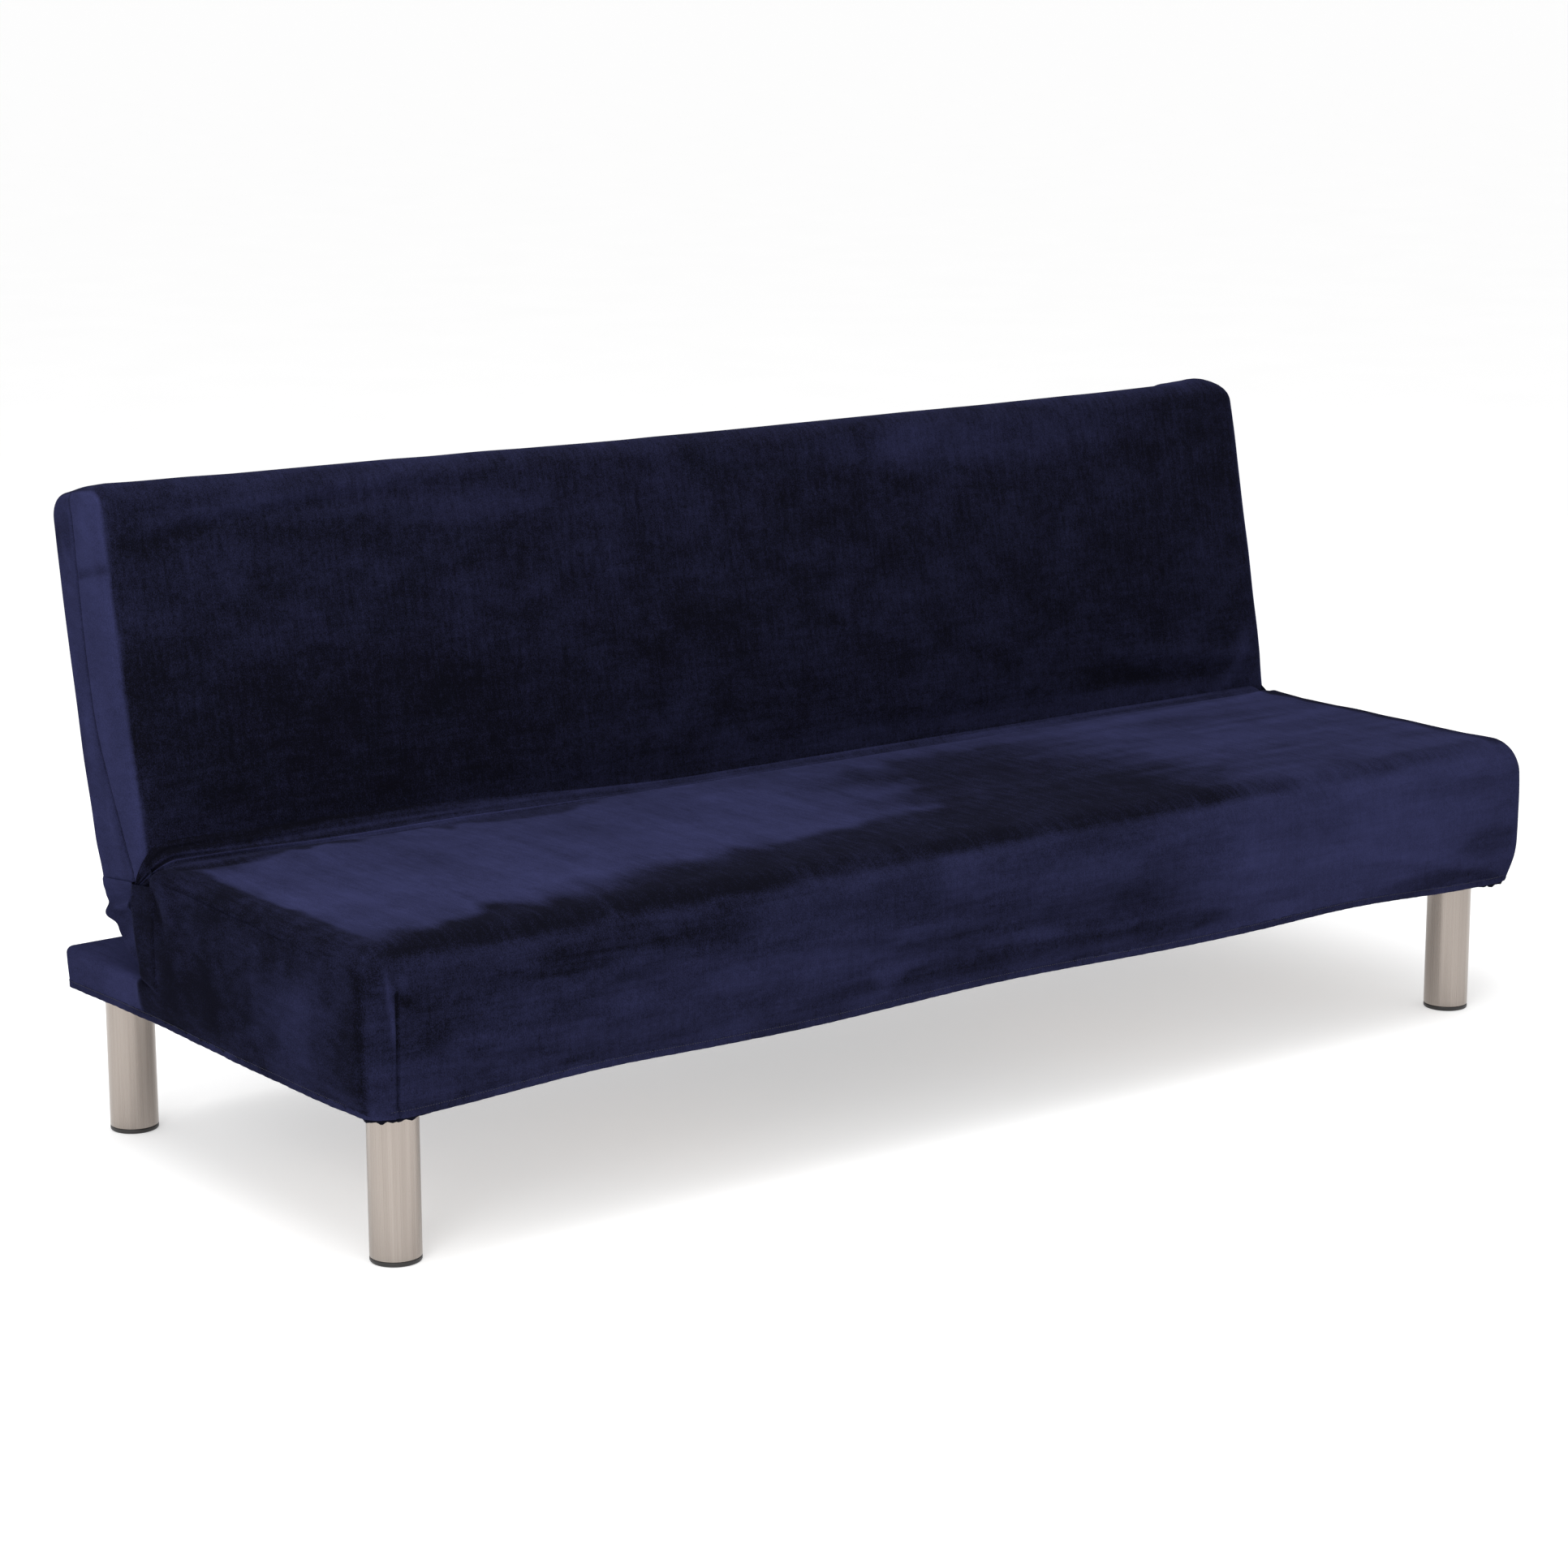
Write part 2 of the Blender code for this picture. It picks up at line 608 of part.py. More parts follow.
def pawl_spring(name, side, tail):
    """A tension spring from the bracket to the pawl's tail, which it draws to the front."""
    x = side * (ARM_IN + HINGE_PLATE / 2)
    start = tail.x - PAWL_WIDTH / 2 - PAWL_STANDOFF - SPRING_WIRE - COVER
    steps = 8 * SPRING_TURNS
    coils = [
        (x + SPRING_COIL * math.cos(i * math.pi / 4), start - 0.003 - SPRING_LENGTH * i / steps,
         tail.y + SPRING_COIL * math.sin(i * math.pi / 4))
        for i in range(steps + 1)
    ]
    end = coils[-1][1]
    inboard = side * (BRACKET_IN + HINGE_PLATE + PAWL_STANDOFF + SPRING_WIRE)
    points = [
        (x, start, tail.y), (x, start - 0.0015, tail.y), *coils,
        (x, end - 0.002, tail.y), (x, end - 0.005, tail.y), (inboard, end - 0.006, tail.y),
    ]
    curve = bpy.data.curves.new(name, "CURVE")
    curve.dimensions = "3D"
    curve.bevel_depth = SPRING_WIRE
    curve.bevel_resolution = 1
    curve.use_fill_caps = True
    wire = curve.splines.new("POLY")
    wire.points.add(len(points) - 1)
    for target, point in zip(wire.points, points):
        target.co = (*point, 1)
    shade(freeze(add_object(name, curve, ZINC)))


def toothed_head():
    """The arm's round head in the back's (Y, Z), with notches that the pawl drops into."""
    rest = PAWL_ANGLE + BACK_TILT
    points = []
    half = math.radians(5)
    start = rest - math.radians(14)
    for i in range(TEETH):
        notch = rest + i * TOOTH_STEP
        points += arc((0, 0), HEAD_RADIUS, start, notch - half, 2)
        deep = HEAD_RADIUS - TOOTH_DEPTH
        points.append((deep * math.cos(notch), deep * math.sin(notch)))
        start = notch + half
    points += arc((0, 0), HEAD_RADIUS, start, start + math.radians(6), 1)
    return points


def arm_bolts():
    """Heights of the arm's bolts above the hinge axis, along the back."""
    return ARM_BOLT_START, ARM_BOLT_START + ARM_BOLT_PITCH


def arm_side(name, side, pivot):
    """The hinge arm that carries one end of the back, with its two bolts."""
    top = arm_bolts()[-1] + ARM_END
    outline = [
        *toothed_head(), (STILE_FRONT, 0.014), (FRAME_REAR, 0.034), (FRAME_REAR, top),
        (STILE_FRONT, top), (STILE_FRONT, 0.062),
        *arc((0, 0), HEAD_RADIUS, math.radians(70), math.radians(200), 8),
    ]
    inner, outer = sorted((side * ARM_IN, side * ARM_OUT))
    middle_y = STILE_FRONT + STILE / 2
    holes = [
        circle((0, 0), RIVET_DIAMETER / 2 + RUNNING),
        *[circle((middle_y, z), BOLT_HOLE / 2) for z in arm_bolts()],
    ]
    plate(f"hinge_arm_{name}", [outline, *holes], "x", inner, outer, ZINC, pivot)
    for i, z in enumerate(arm_bolts()):
        seat = (side * (ARM_OUT + GAP), middle_y, z)
        bolt(f"arm_bolt_{name}_{i + 1}", seat, side, HINGE_PLATE + STILE + 0.004, pivot)


# ---------------------------------------------------------------- back
def build_back(pivot):
    bottom = BACK_FOOT + SKIN
    top = BACK_HEIGHT - BACK_RADIUS
    for name, side in SIDES:
        inner, outer = sorted((side * (STILE_END - STILE), side * STILE_END))
        stile = hollow_rail(
            f"back_{name}_stile", "z", (inner, STILE_FRONT), (outer, FRAME_REAR), bottom, top,
            FRAME_PAINT, pivot)
        for z in arm_bolts():
            drill(stile, ((inner + outer) / 2, STILE_FRONT + STILE / 2, z), BOLT_HOLE)
    rail_end = STILE_END - STILE - GAP
    rail_front = STILE_FRONT + BACK_SLAT_THICKNESS + GAP
    low_rail = bottom + BACK_RAIL_LIFT
    high_rail = top - BACK_RAIL_HEIGHT
    for name, z in (("bottom", low_rail), ("top", high_rail)):
        hollow_rail(
            f"back_{name}_rail", "x", (rail_front, z), (FRAME_REAR, z + BACK_RAIL_HEIGHT),
            -rail_end, rail_end, FRAME_PAINT, pivot)
    for i, x in enumerate(spread(BACK_SLATS, rail_end - END_SLAT)):
        box(
            f"back_slat_{i + 1}", (x - BACK_SLAT_WIDTH / 2, STILE_FRONT, low_rail + SLAT_LAP),
            (x + BACK_SLAT_WIDTH / 2, STILE_FRONT + BACK_SLAT_THICKNESS, top - SLAT_LAP), BEECH,
            pivot)
    around = BACK_END_RADIUS - SKIN
    soft_box(
        "back_foam", (-FOAM_END, BACK_FACE + SKIN, bottom),
        (FOAM_END, STILE_FRONT - GAP, BACK_HEIGHT - SKIN), FOAM, {
            ("-y", "+z"): BACK_RADIUS - SKIN,
            ("-x", "+z"): around,
            ("+x", "+z"): around,
            ("-x", "-y"): around,
            ("+x", "-y"): around,
        }, pivot)
    soft_box(
        "back_cover", (-BACK_END, BACK_FACE, BACK_FOOT), (BACK_END, BACK_REAR, BACK_HEIGHT),
        VELVET, {
            ("-y", "+z"): BACK_RADIUS,
            ("+y", "+z"): BACK_RADIUS,
            ("-x", "+z"): BACK_END_RADIUS,
            ("+x", "+z"): BACK_END_RADIUS,
            ("-x", "-y"): BACK_END_RADIUS,
            ("+x", "-y"): BACK_END_RADIUS,
            ("-x", "+y"): BACK_END_RADIUS,
            ("+x", "+y"): BACK_END_RADIUS,
        }, pivot, open_sides=("-z",))


def main():
    build_legs()
    build_base_frame()
    build_seat()
    build_base_covers()
    pivot = bpy.data.objects.new("back_pivot", None)
    PARTS.objects.link(pivot)
    pivot.location = (0, HINGE_Y, HINGE_Z)
    pivot.rotation_euler = (-BACK_TILT, 0, 0)
    bpy.context.view_layer.update()
    for name, side in SIDES:
        hinge_side(name, side)
        arm_side(name, side, pivot)
    build_back(pivot)


main()
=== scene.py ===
"""Futon sofa bed: the finished looks of its slipcover, hinge cloth, legs and inner frame.

Every piece is worked out in metres in the frame of the CAD model: +X runs along the sofa's length, +Y to
its back and +Z up, with the origin on the floor under its middle.
"""

import json
import logging
import math
from dataclasses import dataclass
from enum import Enum

import bpy
import numpy as np
from mathutils import Matrix, Vector


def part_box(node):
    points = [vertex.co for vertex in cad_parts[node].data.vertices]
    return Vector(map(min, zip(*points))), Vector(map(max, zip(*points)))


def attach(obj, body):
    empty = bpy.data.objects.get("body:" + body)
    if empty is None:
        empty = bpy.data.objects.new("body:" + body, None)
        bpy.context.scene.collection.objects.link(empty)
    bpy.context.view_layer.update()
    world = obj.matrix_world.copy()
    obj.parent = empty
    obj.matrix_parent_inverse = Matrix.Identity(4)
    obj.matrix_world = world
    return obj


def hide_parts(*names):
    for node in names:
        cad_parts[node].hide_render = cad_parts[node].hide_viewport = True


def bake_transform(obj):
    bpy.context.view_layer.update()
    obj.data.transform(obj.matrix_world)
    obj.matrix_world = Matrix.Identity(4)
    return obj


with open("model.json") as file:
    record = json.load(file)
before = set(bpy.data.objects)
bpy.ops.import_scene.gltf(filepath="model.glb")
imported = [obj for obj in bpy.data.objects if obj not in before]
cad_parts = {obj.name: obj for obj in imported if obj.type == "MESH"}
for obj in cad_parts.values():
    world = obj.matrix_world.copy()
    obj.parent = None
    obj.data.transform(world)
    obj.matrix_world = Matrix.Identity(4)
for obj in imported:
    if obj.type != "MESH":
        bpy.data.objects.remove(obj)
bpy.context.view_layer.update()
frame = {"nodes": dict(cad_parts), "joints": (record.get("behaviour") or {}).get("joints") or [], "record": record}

LOG = logging.getLogger("sofa_bed")
NAP_AND_SHEEN, LAY = "nap_and_sheen", "lay"  # mesh attributes: the pile's painted sheen and shade, from dark to pale, and along which way it was brushed
MERGE = 2e-6             # metres within which two points count as one
FOLD_SHADE = 60.0        # painted highlight on a fold's ridge and painted shade in its furrow, per metre of the fold's height

Array = np.ndarray
Pair = tuple[float, float]
Point = tuple[float, float, float]
Material = bpy.types.Material
Piece = bpy.types.Object
Tree, Node, Socket = bpy.types.NodeTree, bpy.types.Node, bpy.types.NodeSocket


# ---------------------------------------------------------------- numbers and curves
def smooth(x: Array) -> Array:
    """Returns 0 below 0, 1 above 1 and the cubic 3x^2 - 2x^3 between."""
    x = np.clip(x, 0.0, 1.0)
    return x * x * (3 - 2 * x)


def hump(x: Array, middle: float, reach: float) -> Array:
    """Returns a bell exp(-((x - middle) / reach)^2)."""
    return np.exp(-(((x - middle) / reach) ** 2))


def drift(points: Array, cell: Point, seed: int) -> Array:
    """Smooth noise: a random value at each corner of a lattice, blended with a cubic in between.

    Args:
        points: Places, one per row, in metres.
        cell: Size of the lattice's cells along X, Y and Z, in metres.
        seed: Picks the random values.

    Returns:
        One value per point, from -1 to 1.
    """
    place = points / np.asarray(cell) + 517.3
    low = np.floor(place).astype(np.int64)
    part = place - low
    part = part * part * (3 - 2 * part)
    total = np.zeros(len(points))
    for corner in np.ndindex(2, 2, 2):
        code = ((low + corner) * np.array([73856093, 19349663, 83492791])).sum(1) + seed * 15485863
        code = ((code ^ (code >> 13)) * 1274126177) & 0x7FFFFFFF
        code = ((code ^ (code >> 11)) * 668265263) & 0x7FFFFFFF
        weight = np.prod(np.where(np.array(corner) == 1, part, 1 - part), axis=1)
        total += weight * (code / 0x7FFFFFFF * 2 - 1)
    return total


def layered(points: Array, *layers: tuple[float, Point, int]) -> Array:
    """Returns the sum of several drifts, each given by its weight, cell and seed."""
    return sum(weight * drift(points, cell, seed) for weight, cell, seed in layers)


def facing(normals: Array) -> tuple[Array, Array, Array, Array]:
    """Returns how squarely each normal faces up, to the front, to the rear and to an end, from 0 to 1."""
    x, y, z = normals.T
    return np.clip(z, 0, 1) ** 2, np.clip(-y, 0, 1) ** 2, np.clip(y, 0, 1) ** 2, x**2


def on_face(axis: int, level: float, along: Pair) -> Point:
    """Returns a place, or a reach, with one value on an axis and a pair along the face square to it."""
    return (*along[:axis], level, *along[axis:])


def line(start: Pair, stop: Pair, steps: int, normal: Pair) -> Array:
    """Rows of y, z and the normal's y, z on a straight run, without its last point."""
    share = np.arange(steps)[:, None] / steps
    run = np.asarray(start) + share * (np.asarray(stop) - np.asarray(start))
    return np.hstack([run, np.broadcast_to(normal, (steps, 2))])


def arc(centre: Pair, radius: float, start: float, stop: float, steps: int, turn: int = 1) -> Array:
    """Rows of y, z and the normal's y, z on an arc, without its last point.

    Args:
        centre: The arc's centre.
        radius: Its radius.
        start: First angle in degrees, from +Y towards +Z.
        stop: Last angle.
        steps: Number of rows.
        turn: 1 where the normal points away from the centre, -1 where it points to it.

    Returns:
        The rows: centre + radius (cos a, sin a), with the normal turn (cos a, sin a).
    """
    angle = np.radians(start + (stop - start) * np.arange(steps) / steps)
    way = np.column_stack([np.cos(angle), np.sin(angle)])
    return np.hstack([np.asarray(centre) + radius * way, turn * way])


def grid_faces(rows: int, columns: int, wrap: bool = False) -> Array:
    """Quads of a grid of rows x columns points.

    Args:
        rows: Points down the grid.
        columns: Points across it.
        wrap: Joins the last column to the first.

    Returns:
        Four indices per face.
    """
    across = np.arange(columns if wrap else columns - 1)
    beside = (across + 1) % columns
    here = np.arange(rows - 1)[:, None] * columns
    below = here + columns
    return np.stack([here + across, here + beside, below + beside, below + across], axis=-1).reshape(-1, 4)


def swept(outline: Array, radius: Array, share: Array, end: float, steps: int) -> tuple[Array, Array]:
    """Carries an outline along X and rounds it into both end panels.

    At angle a of the end's quarter round, X is end - r (1 - sin a) and the outline stands
    r (1 - cos a) inside itself.

    Args:
        outline: Rows of y, z and the normal's y, z.
        radius: The end's radius at each row.
        share: Places along X as shares of the straight part's half length.
        end: Half the length from end to end.
        steps: Places round each end.

    Returns:
        Points and normals, outline rows x columns x 3.
    """
    turn = np.linspace(0, np.pi / 2, steps + 1)[1:]
    radius = radius[:, None]
    middle = share * (end - radius)
    right = end - radius * (1 - np.sin(turn))
    drawn = radius * (1 - np.cos(turn))
    x = np.hstack([-right[:, ::-1], middle, right])[..., None]
    inset = np.hstack([drawn[:, ::-1], 0 * middle, drawn])[..., None]
    lean = np.concatenate([-np.sin(turn)[::-1], 0 * share, np.sin(turn)])[:, None]
    place, way = outline[:, None, :2], outline[:, None, 2:4]
    points = np.concatenate([x, place - inset * way], axis=-1)
    normals = np.concatenate([np.broadcast_to(lean, x.shape), way * np.sqrt(1 - lean**2)], axis=-1)
    return points, normals


# ---------------------------------------------------------------- meshes
@dataclass
class Shape:
    """A surface of points, their outward normals and quads; a quad with a repeated corner is a triangle."""

    points: Array
    normals: Array
    faces: Array

    @staticmethod
    def sheet(points: Array, outward: Array, wrap: bool = False) -> "Shape":
        """Makes a shape from a grid of points, with its faces turned the way the outward hints point.

        Args:
            points: Rows x columns x 3 places.
            outward: Directions that broadcast to them, roughly or exactly the surface's normals.
            wrap: Joins the last column to the first.

        Returns:
            The shape.
        """
        rows, columns = points.shape[:2]
        normals = np.broadcast_to(outward, points.shape).reshape(-1, 3)
        flat = points.reshape(-1, 3)
        faces = grid_faces(rows, columns, wrap)
        crossed = np.cross(flat[faces[:, 2]] - flat[faces[:, 0]], flat[faces[:, 3]] - flat[faces[:, 1]])
        if np.sum(crossed * normals[faces[:, 0]]) < 0:
            faces = faces[:, ::-1]
        return Shape(flat, normals, faces)

    @staticmethod
    def joined(shapes: list["Shape"]) -> "Shape":
        """Joins shapes and merges the points that lie in one place, so their seams are closed."""
        counts = np.cumsum([0] + [len(s.points) for s in shapes])
        points = np.vstack([s.points for s in shapes])
        normals = np.vstack([s.normals for s in shapes])
        faces = np.vstack([s.faces + n for s, n in zip(shapes, counts)])
        cells = np.round(points / MERGE).astype(np.int64)
        _, kept, index = np.unique(cells, axis=0, return_index=True, return_inverse=True)
        summed = np.zeros((len(kept), 3))
        np.add.at(summed, index.reshape(-1), normals)
        summed /= np.maximum(np.linalg.norm(summed, axis=1, keepdims=True), 1e-9)
        return Shape(points[kept], summed, index.reshape(-1)[faces])

    def build(
        self, name: str, material: Material, nap_and_sheen: Array | None = None, lay: Array | float = 0.3
    ) -> Piece:
        """Puts the shape into a smooth-shaded mesh object at the origin.

        Args:
            name: The piece's name.
            material: Its finish.
            nap_and_sheen: Painted sheen and shade of the pile, from 0, dark, to 1, pale, at each point.
            lay: How far the brush strokes follow X, from 0 to 1 at each point.

        Returns:
            The new object.
        """
        rolled = np.roll(self.faces, -1, axis=1)
        keep = self.faces != rolled
        sizes = keep.sum(1)
        keep &= (sizes >= 3)[:, None]
        sizes = sizes[sizes >= 3]
        corners = self.faces[keep]
        mesh = bpy.data.meshes.new(name)
        mesh.vertices.add(len(self.points))
        mesh.vertices.foreach_set("co", self.points.astype(np.float32).ravel())
        mesh.loops.add(len(corners))
        mesh.loops.foreach_set("vertex_index", corners.astype(np.int32))
        mesh.polygons.add(len(sizes))
        mesh.polygons.foreach_set("loop_start", (np.cumsum(sizes) - sizes).astype(np.int32))
        mesh.update(calc_edges=True)
        mesh.validate()
        mesh.shade_smooth()
        if nap_and_sheen is not None:
            for key, values in ((NAP_AND_SHEEN, nap_and_sheen), (LAY, np.broadcast_to(lay, nap_and_sheen.shape))):
                attribute = mesh.attributes.new(key, "FLOAT", "POINT")
                attribute.data.foreach_set("value", values.astype(np.float32))
        mesh.materials.append(material)
        piece = bpy.data.objects.new(name, mesh)
        bpy.context.scene.collection.objects.link(piece)
        LOG.info("%s: %d faces", name, len(mesh.polygons))
        return piece


@dataclass(frozen=True)
class Fold:
    """A ridge or a furrow in cloth, along a bent line through three places."""

    start: Point
    middle: Point
    stop: Point
    width: float
    height: float

    @staticmethod
    def on(axis: int, level: float, *rows: tuple[float, ...]) -> list["Fold"]:
        """Makes folds on a face square to an axis, from rows of three places along it, width and height."""
        return [Fold(*(on_face(axis, level, row[i:i + 2]) for i in (0, 2, 4)), *row[6:]) for row in rows]

    def rise(self, points: Array) -> Array:
        """The fold's height at each point: a bell across the line, tapering to both of its ends."""
        share = np.linspace(0, 1, 33)[:, None]
        start, middle, stop = (np.asarray(p) for p in (self.start, self.middle, self.stop))
        bend = 2 * middle - (start + stop) / 2
        path = (1 - share) ** 2 * start + 2 * share * (1 - share) * bend + share**2 * stop
        low, high = path.min(0) - 3 * self.width, path.max(0) + 3 * self.width
        near = np.all((points > low) & (points < high), axis=1)
        rise = np.zeros(len(points))
        gap = np.linalg.norm(points[near, None] - path[None], axis=2)
        nearest = gap.argmin(1)
        along = share[nearest, 0]
        taper = np.sqrt(np.clip(4 * along * (1 - along), 0, 1))
        rise[near] = self.height * taper * np.exp(-((gap.min(1) / self.width) ** 2))
        return rise


@dataclass(frozen=True)
class Stroke:
    """A patch of pile brushed lighter or darker, painted in as sheen: an ellipsoid with a soft edge."""

    at: Point
    reach: Point
    nap_and_sheen: float
    strength: float
    edge: float

    def brush(self, points: Array, nap_and_sheen: Array) -> Array:
        """Moves the painted sheen of the points inside the patch towards the patch's own."""
        away = np.linalg.norm((points - np.asarray(self.at)) / np.asarray(self.reach), axis=1)
        share = self.strength * smooth((1 + self.edge / 2 - away) / self.edge)
        return nap_and_sheen + (self.nap_and_sheen - nap_and_sheen) * share

    @staticmethod
    def brushed(points: Array, nap_and_sheen: Array, axis: int, level: float, depth: float, rows: tuple) -> Array:
        """Brushes a row of strokes onto a face square to an axis.

        Args:
            points: Places, one per row.
            nap_and_sheen: The painted sheen there.
            axis: The axis that the face is square to.
            level: The face's place on that axis.
            depth: The strokes' reach along it.
            rows: For each stroke two places and two reaches along the face, painted sheen, strength and edge.

        Returns:
            The brushed nap.
        """
        for row in rows:
            at, reach = on_face(axis, level, row[:2]), on_face(axis, depth, row[2:4])
            nap_and_sheen = Stroke(at, reach, *row[4:]).brush(points, nap_and_sheen)
        return nap_and_sheen


# ---------------------------------------------------------------- finishes
def linear(code: str) -> tuple[float, float, float, float]:
    """Turns an sRGB hex colour such as "#1F1F33" into linear red, green and blue, and an alpha of 1."""
    parts = [int(code[i:i + 2], 16) / 255 for i in (1, 3, 5)]
    red, green, blue = (c / 12.92 if c <= 0.04045 else ((c + 0.055) / 1.055) ** 2.4 for c in parts)
    return red, green, blue, 1.0


def node(
    tree: Tree, kind: str, values: dict[str | int, object] | None = None,
    links: dict[str | int, Socket] | None = None, **settings: object,
) -> Node:
    """Adds a node with its settings, the values of its sockets and its links.

    Args:
        tree: The material's tree.
        kind: The node's type, such as "ShaderNodeMath".
        values: Socket name or number to value.
        links: Socket name or number to the output that feeds it.
        **settings: The node's own properties.

    Returns:
        The new node.
    """
    new = tree.nodes.new(kind)
    for key, value in settings.items():
        setattr(new, key, value)
    for key, value in (values or {}).items():
        new.inputs[key].default_value = value
    for key, source in (links or {}).items():
        tree.links.new(source, new.inputs[key])
    return new


@dataclass(frozen=True)
class Finish:
    """What every finish shares: a name, the shader's constants and its darkest and palest colour."""

    name: str
    roughness: float = 0.5
    metallic: float = 0.0
    dark: str = "#202020"
    light: str = "#2A2A2A"

    def material(self) -> Material:
        """Makes the material: a shader on the piece's own coordinates, painted by the finish."""
        material = bpy.data.materials.new(self.name)
        material.use_nodes = True
        tree = material.node_tree
        tree.nodes.clear()
        values = {"Roughness": self.roughness, "Metallic": self.metallic, "IOR": 1.5}
        shader = node(tree, "ShaderNodeBsdfPrincipled", values)
        node(tree, "ShaderNodeOutputMaterial", links={"Surface": shader.outputs["BSDF"]})
        self.paint(tree, shader, node(tree, "ShaderNodeTexCoord").outputs["Object"])
        return material

    def paint(self, tree: Tree, shader: Node, place: Socket) -> None:
        """Sets the shader's colour and relief from the piece's own coordinates; each finish says how."""
        raise NotImplementedError

    def grain(self, tree: Tree, source: Socket, millimetres: Point, detail: float = 2.0) -> Socket:
        """Returns noise whose blotches are the given size along X, Y and Z."""
        scale = tuple(1000.0 / m for m in millimetres)
        stretched = node(tree, "ShaderNodeMapping", {"Scale": scale}, {"Vector": source}).outputs["Vector"]
        noise = node(tree, "ShaderNodeTexNoise", {"Scale": 1.0, "Detail": detail}, {"Vector": stretched})
        return noise.outputs["Fac"]

    def tint(self, tree: Tree, shader: Node, source: Socket, low: float, high: float) -> None:
        """Colours the shader from dark to light as the source goes from low to high."""
        share = node(tree, "ShaderNodeMapRange", {"From Min": low, "From Max": high}, {"Value": source})
        mix = node(tree, "ShaderNodeMix", data_type="RGBA")
        mix.inputs[6].default_value, mix.inputs[7].default_value = linear(self.dark), linear(self.light)
        tree.links.new(share.outputs["Result"], mix.inputs[0])
        tree.links.new(mix.outputs[2], shader.inputs["Base Color"])

    def bump(self, tree: Tree, shader: Node, height: Socket, millimetres: float) -> None:
        """Feeds the shader a bump of the given depth."""
        depth = {"Strength": 1.0, "Distance": millimetres / 1000}
        raised = node(tree, "ShaderNodeBump", depth, {"Height": height})
        tree.links.new(raised.outputs["Normal"], shader.inputs["Normal"])


def combine(tree: Tree, *parts: tuple[Socket, float]) -> Socket:
    """Returns the sum of the sources, each times its factor."""
    total = None
    for source, factor in parts:
        scaled = node(tree, "ShaderNodeMath", {1: factor}, {0: source}, operation="MULTIPLY").outputs[0]
        if total is None:
            total = scaled
        else:
            total = node(tree, "ShaderNodeMath", links={0: total, 1: scaled}, operation="ADD").outputs[0]
    return total


@dataclass(frozen=True)
class Velvet(Finish):
    """Warp-knitted stretch velvet: a short dense pile that is dark where it leans to the eye and pale where
    it leans away, so each brushed patch keeps its own shade. This sheen is painted into the base colour,
    face by face and fold by fold, with a faint light on turned edges from the shader's sheen."""

    dark: str = "#0B0B12"
    light: str = "#2D2F4F"
    sheen_tint: str = "#7C80B4"
    pile: float = 1.0        # mm between tufts, drawn coarser than the real 0.3 so that it shows
    stroke: float = 5.0      # mm across a finger-wide streak of brushed pile

    def paint(self, tree: Tree, shader: Node, place: Socket) -> None:
        """Colours the velvet by its painted sheen and shade, broken up by brush strokes, mottle, knit and tufts.

        The strokes run along X where the lay attribute is 1 and across it where it is 0.
        """
        nap_and_sheen = node(tree, "ShaderNodeAttribute", attribute_name=NAP_AND_SHEEN).outputs["Fac"]
        lay = node(tree, "ShaderNodeAttribute", attribute_name=LAY).outputs["Fac"]
        deep = self.grain(tree, place, (self.stroke, self.stroke * 9, self.stroke * 9), 5.0)
        long = self.grain(tree, place, (self.stroke * 22, self.stroke * 2, self.stroke * 1.4), 6.0)
        sources = {0: lay, 2: deep, 3: long}
        strokes = node(tree, "ShaderNodeMix", {0: 0.5, 2: 0.5, 3: 0.5}, sources, data_type="FLOAT").outputs[0]
        mottle = self.grain(tree, place, (90.0, 70.0, 60.0), 9.0)
        brushed = self.grain(tree, place, (26.0, 34.0, 15.0), 7.0)
        flecks = self.grain(tree, place, (6.0, 20.0, 7.0), 4.0)
        wale = self.grain(tree, place, (1.9, 70.0, 70.0))
        tufts = self.grain(tree, place, (self.pile, self.pile * 1.5, self.pile * 1.5))
        shade = combine(
            tree, (nap_and_sheen, 1.0), (strokes, 0.34), (mottle, 0.30), (brushed, 0.26), (flecks, 0.28), (wale, 0.16),
            (tufts, 0.90),
        )
        # base colour from dark to pale: painted sheen and shade, with random grain on top
        self.tint(tree, shader, shade, 1.14, 2.20)
        for key, value in (
            ("Specular IOR Level", 0.0), ("Sheen Weight", 0.07), ("Sheen Roughness", 0.40),
            ("Sheen Tint", linear(self.sheen_tint)),
        ):
            shader.inputs[key].default_value = value
        self.bump(tree, shader, combine(tree, (tufts, 0.6), (strokes, 0.8), (wale, 0.3)), 0.45)


@dataclass(frozen=True)
class SewingThread(Finish):
    """Twisted polyester thread, a little darker and glossier than the cloth it sinks into."""

    dark: str = "#0B0B14"
    light: str = "#191A30"

    def paint(self, tree: Tree, shader: Node, place: Socket) -> None:
        """Twists the thread: fine diagonal grain in its colour and relief."""
        twist = self.grain(tree, place, (0.5, 0.5, 0.3))
        self.tint(tree, shader, twist, 0.3, 0.7)
        self.bump(tree, shader, twist, 0.08)


@dataclass(frozen=True)
class BrushedSteel(Finish):
    """Stainless tube brushed along its length: fine upright scratches that smear each reflection."""

    dark: str = "#938A83"
    light: str = "#A69D96"
    gloss: float = 0.08      # how far the roughness strays along a scratch

    def paint(self, tree: Tree, shader: Node, place: Socket) -> None:
        """Scratches the steel: streaks 0.6 mm wide and 260 mm long in colour, gloss and relief."""
        fine = self.grain(tree, place, (0.6, 0.6, 260.0), 3.0)
        broad = self.grain(tree, place, (7.0, 7.0, 400.0))
        self.tint(tree, shader, combine(tree, (fine, 0.6), (broad, 0.4)), 0.32, 0.68)
        spread = {"To Min": self.roughness - self.gloss, "To Max": self.roughness + self.gloss}
        rough = node(tree, "ShaderNodeMapRange", {"From Min": 0.3, "From Max": 0.7} | spread, {"Value": fine})
        tree.links.new(rough.outputs["Result"], shader.inputs["Roughness"])
        self.bump(tree, shader, fine, 0.012)


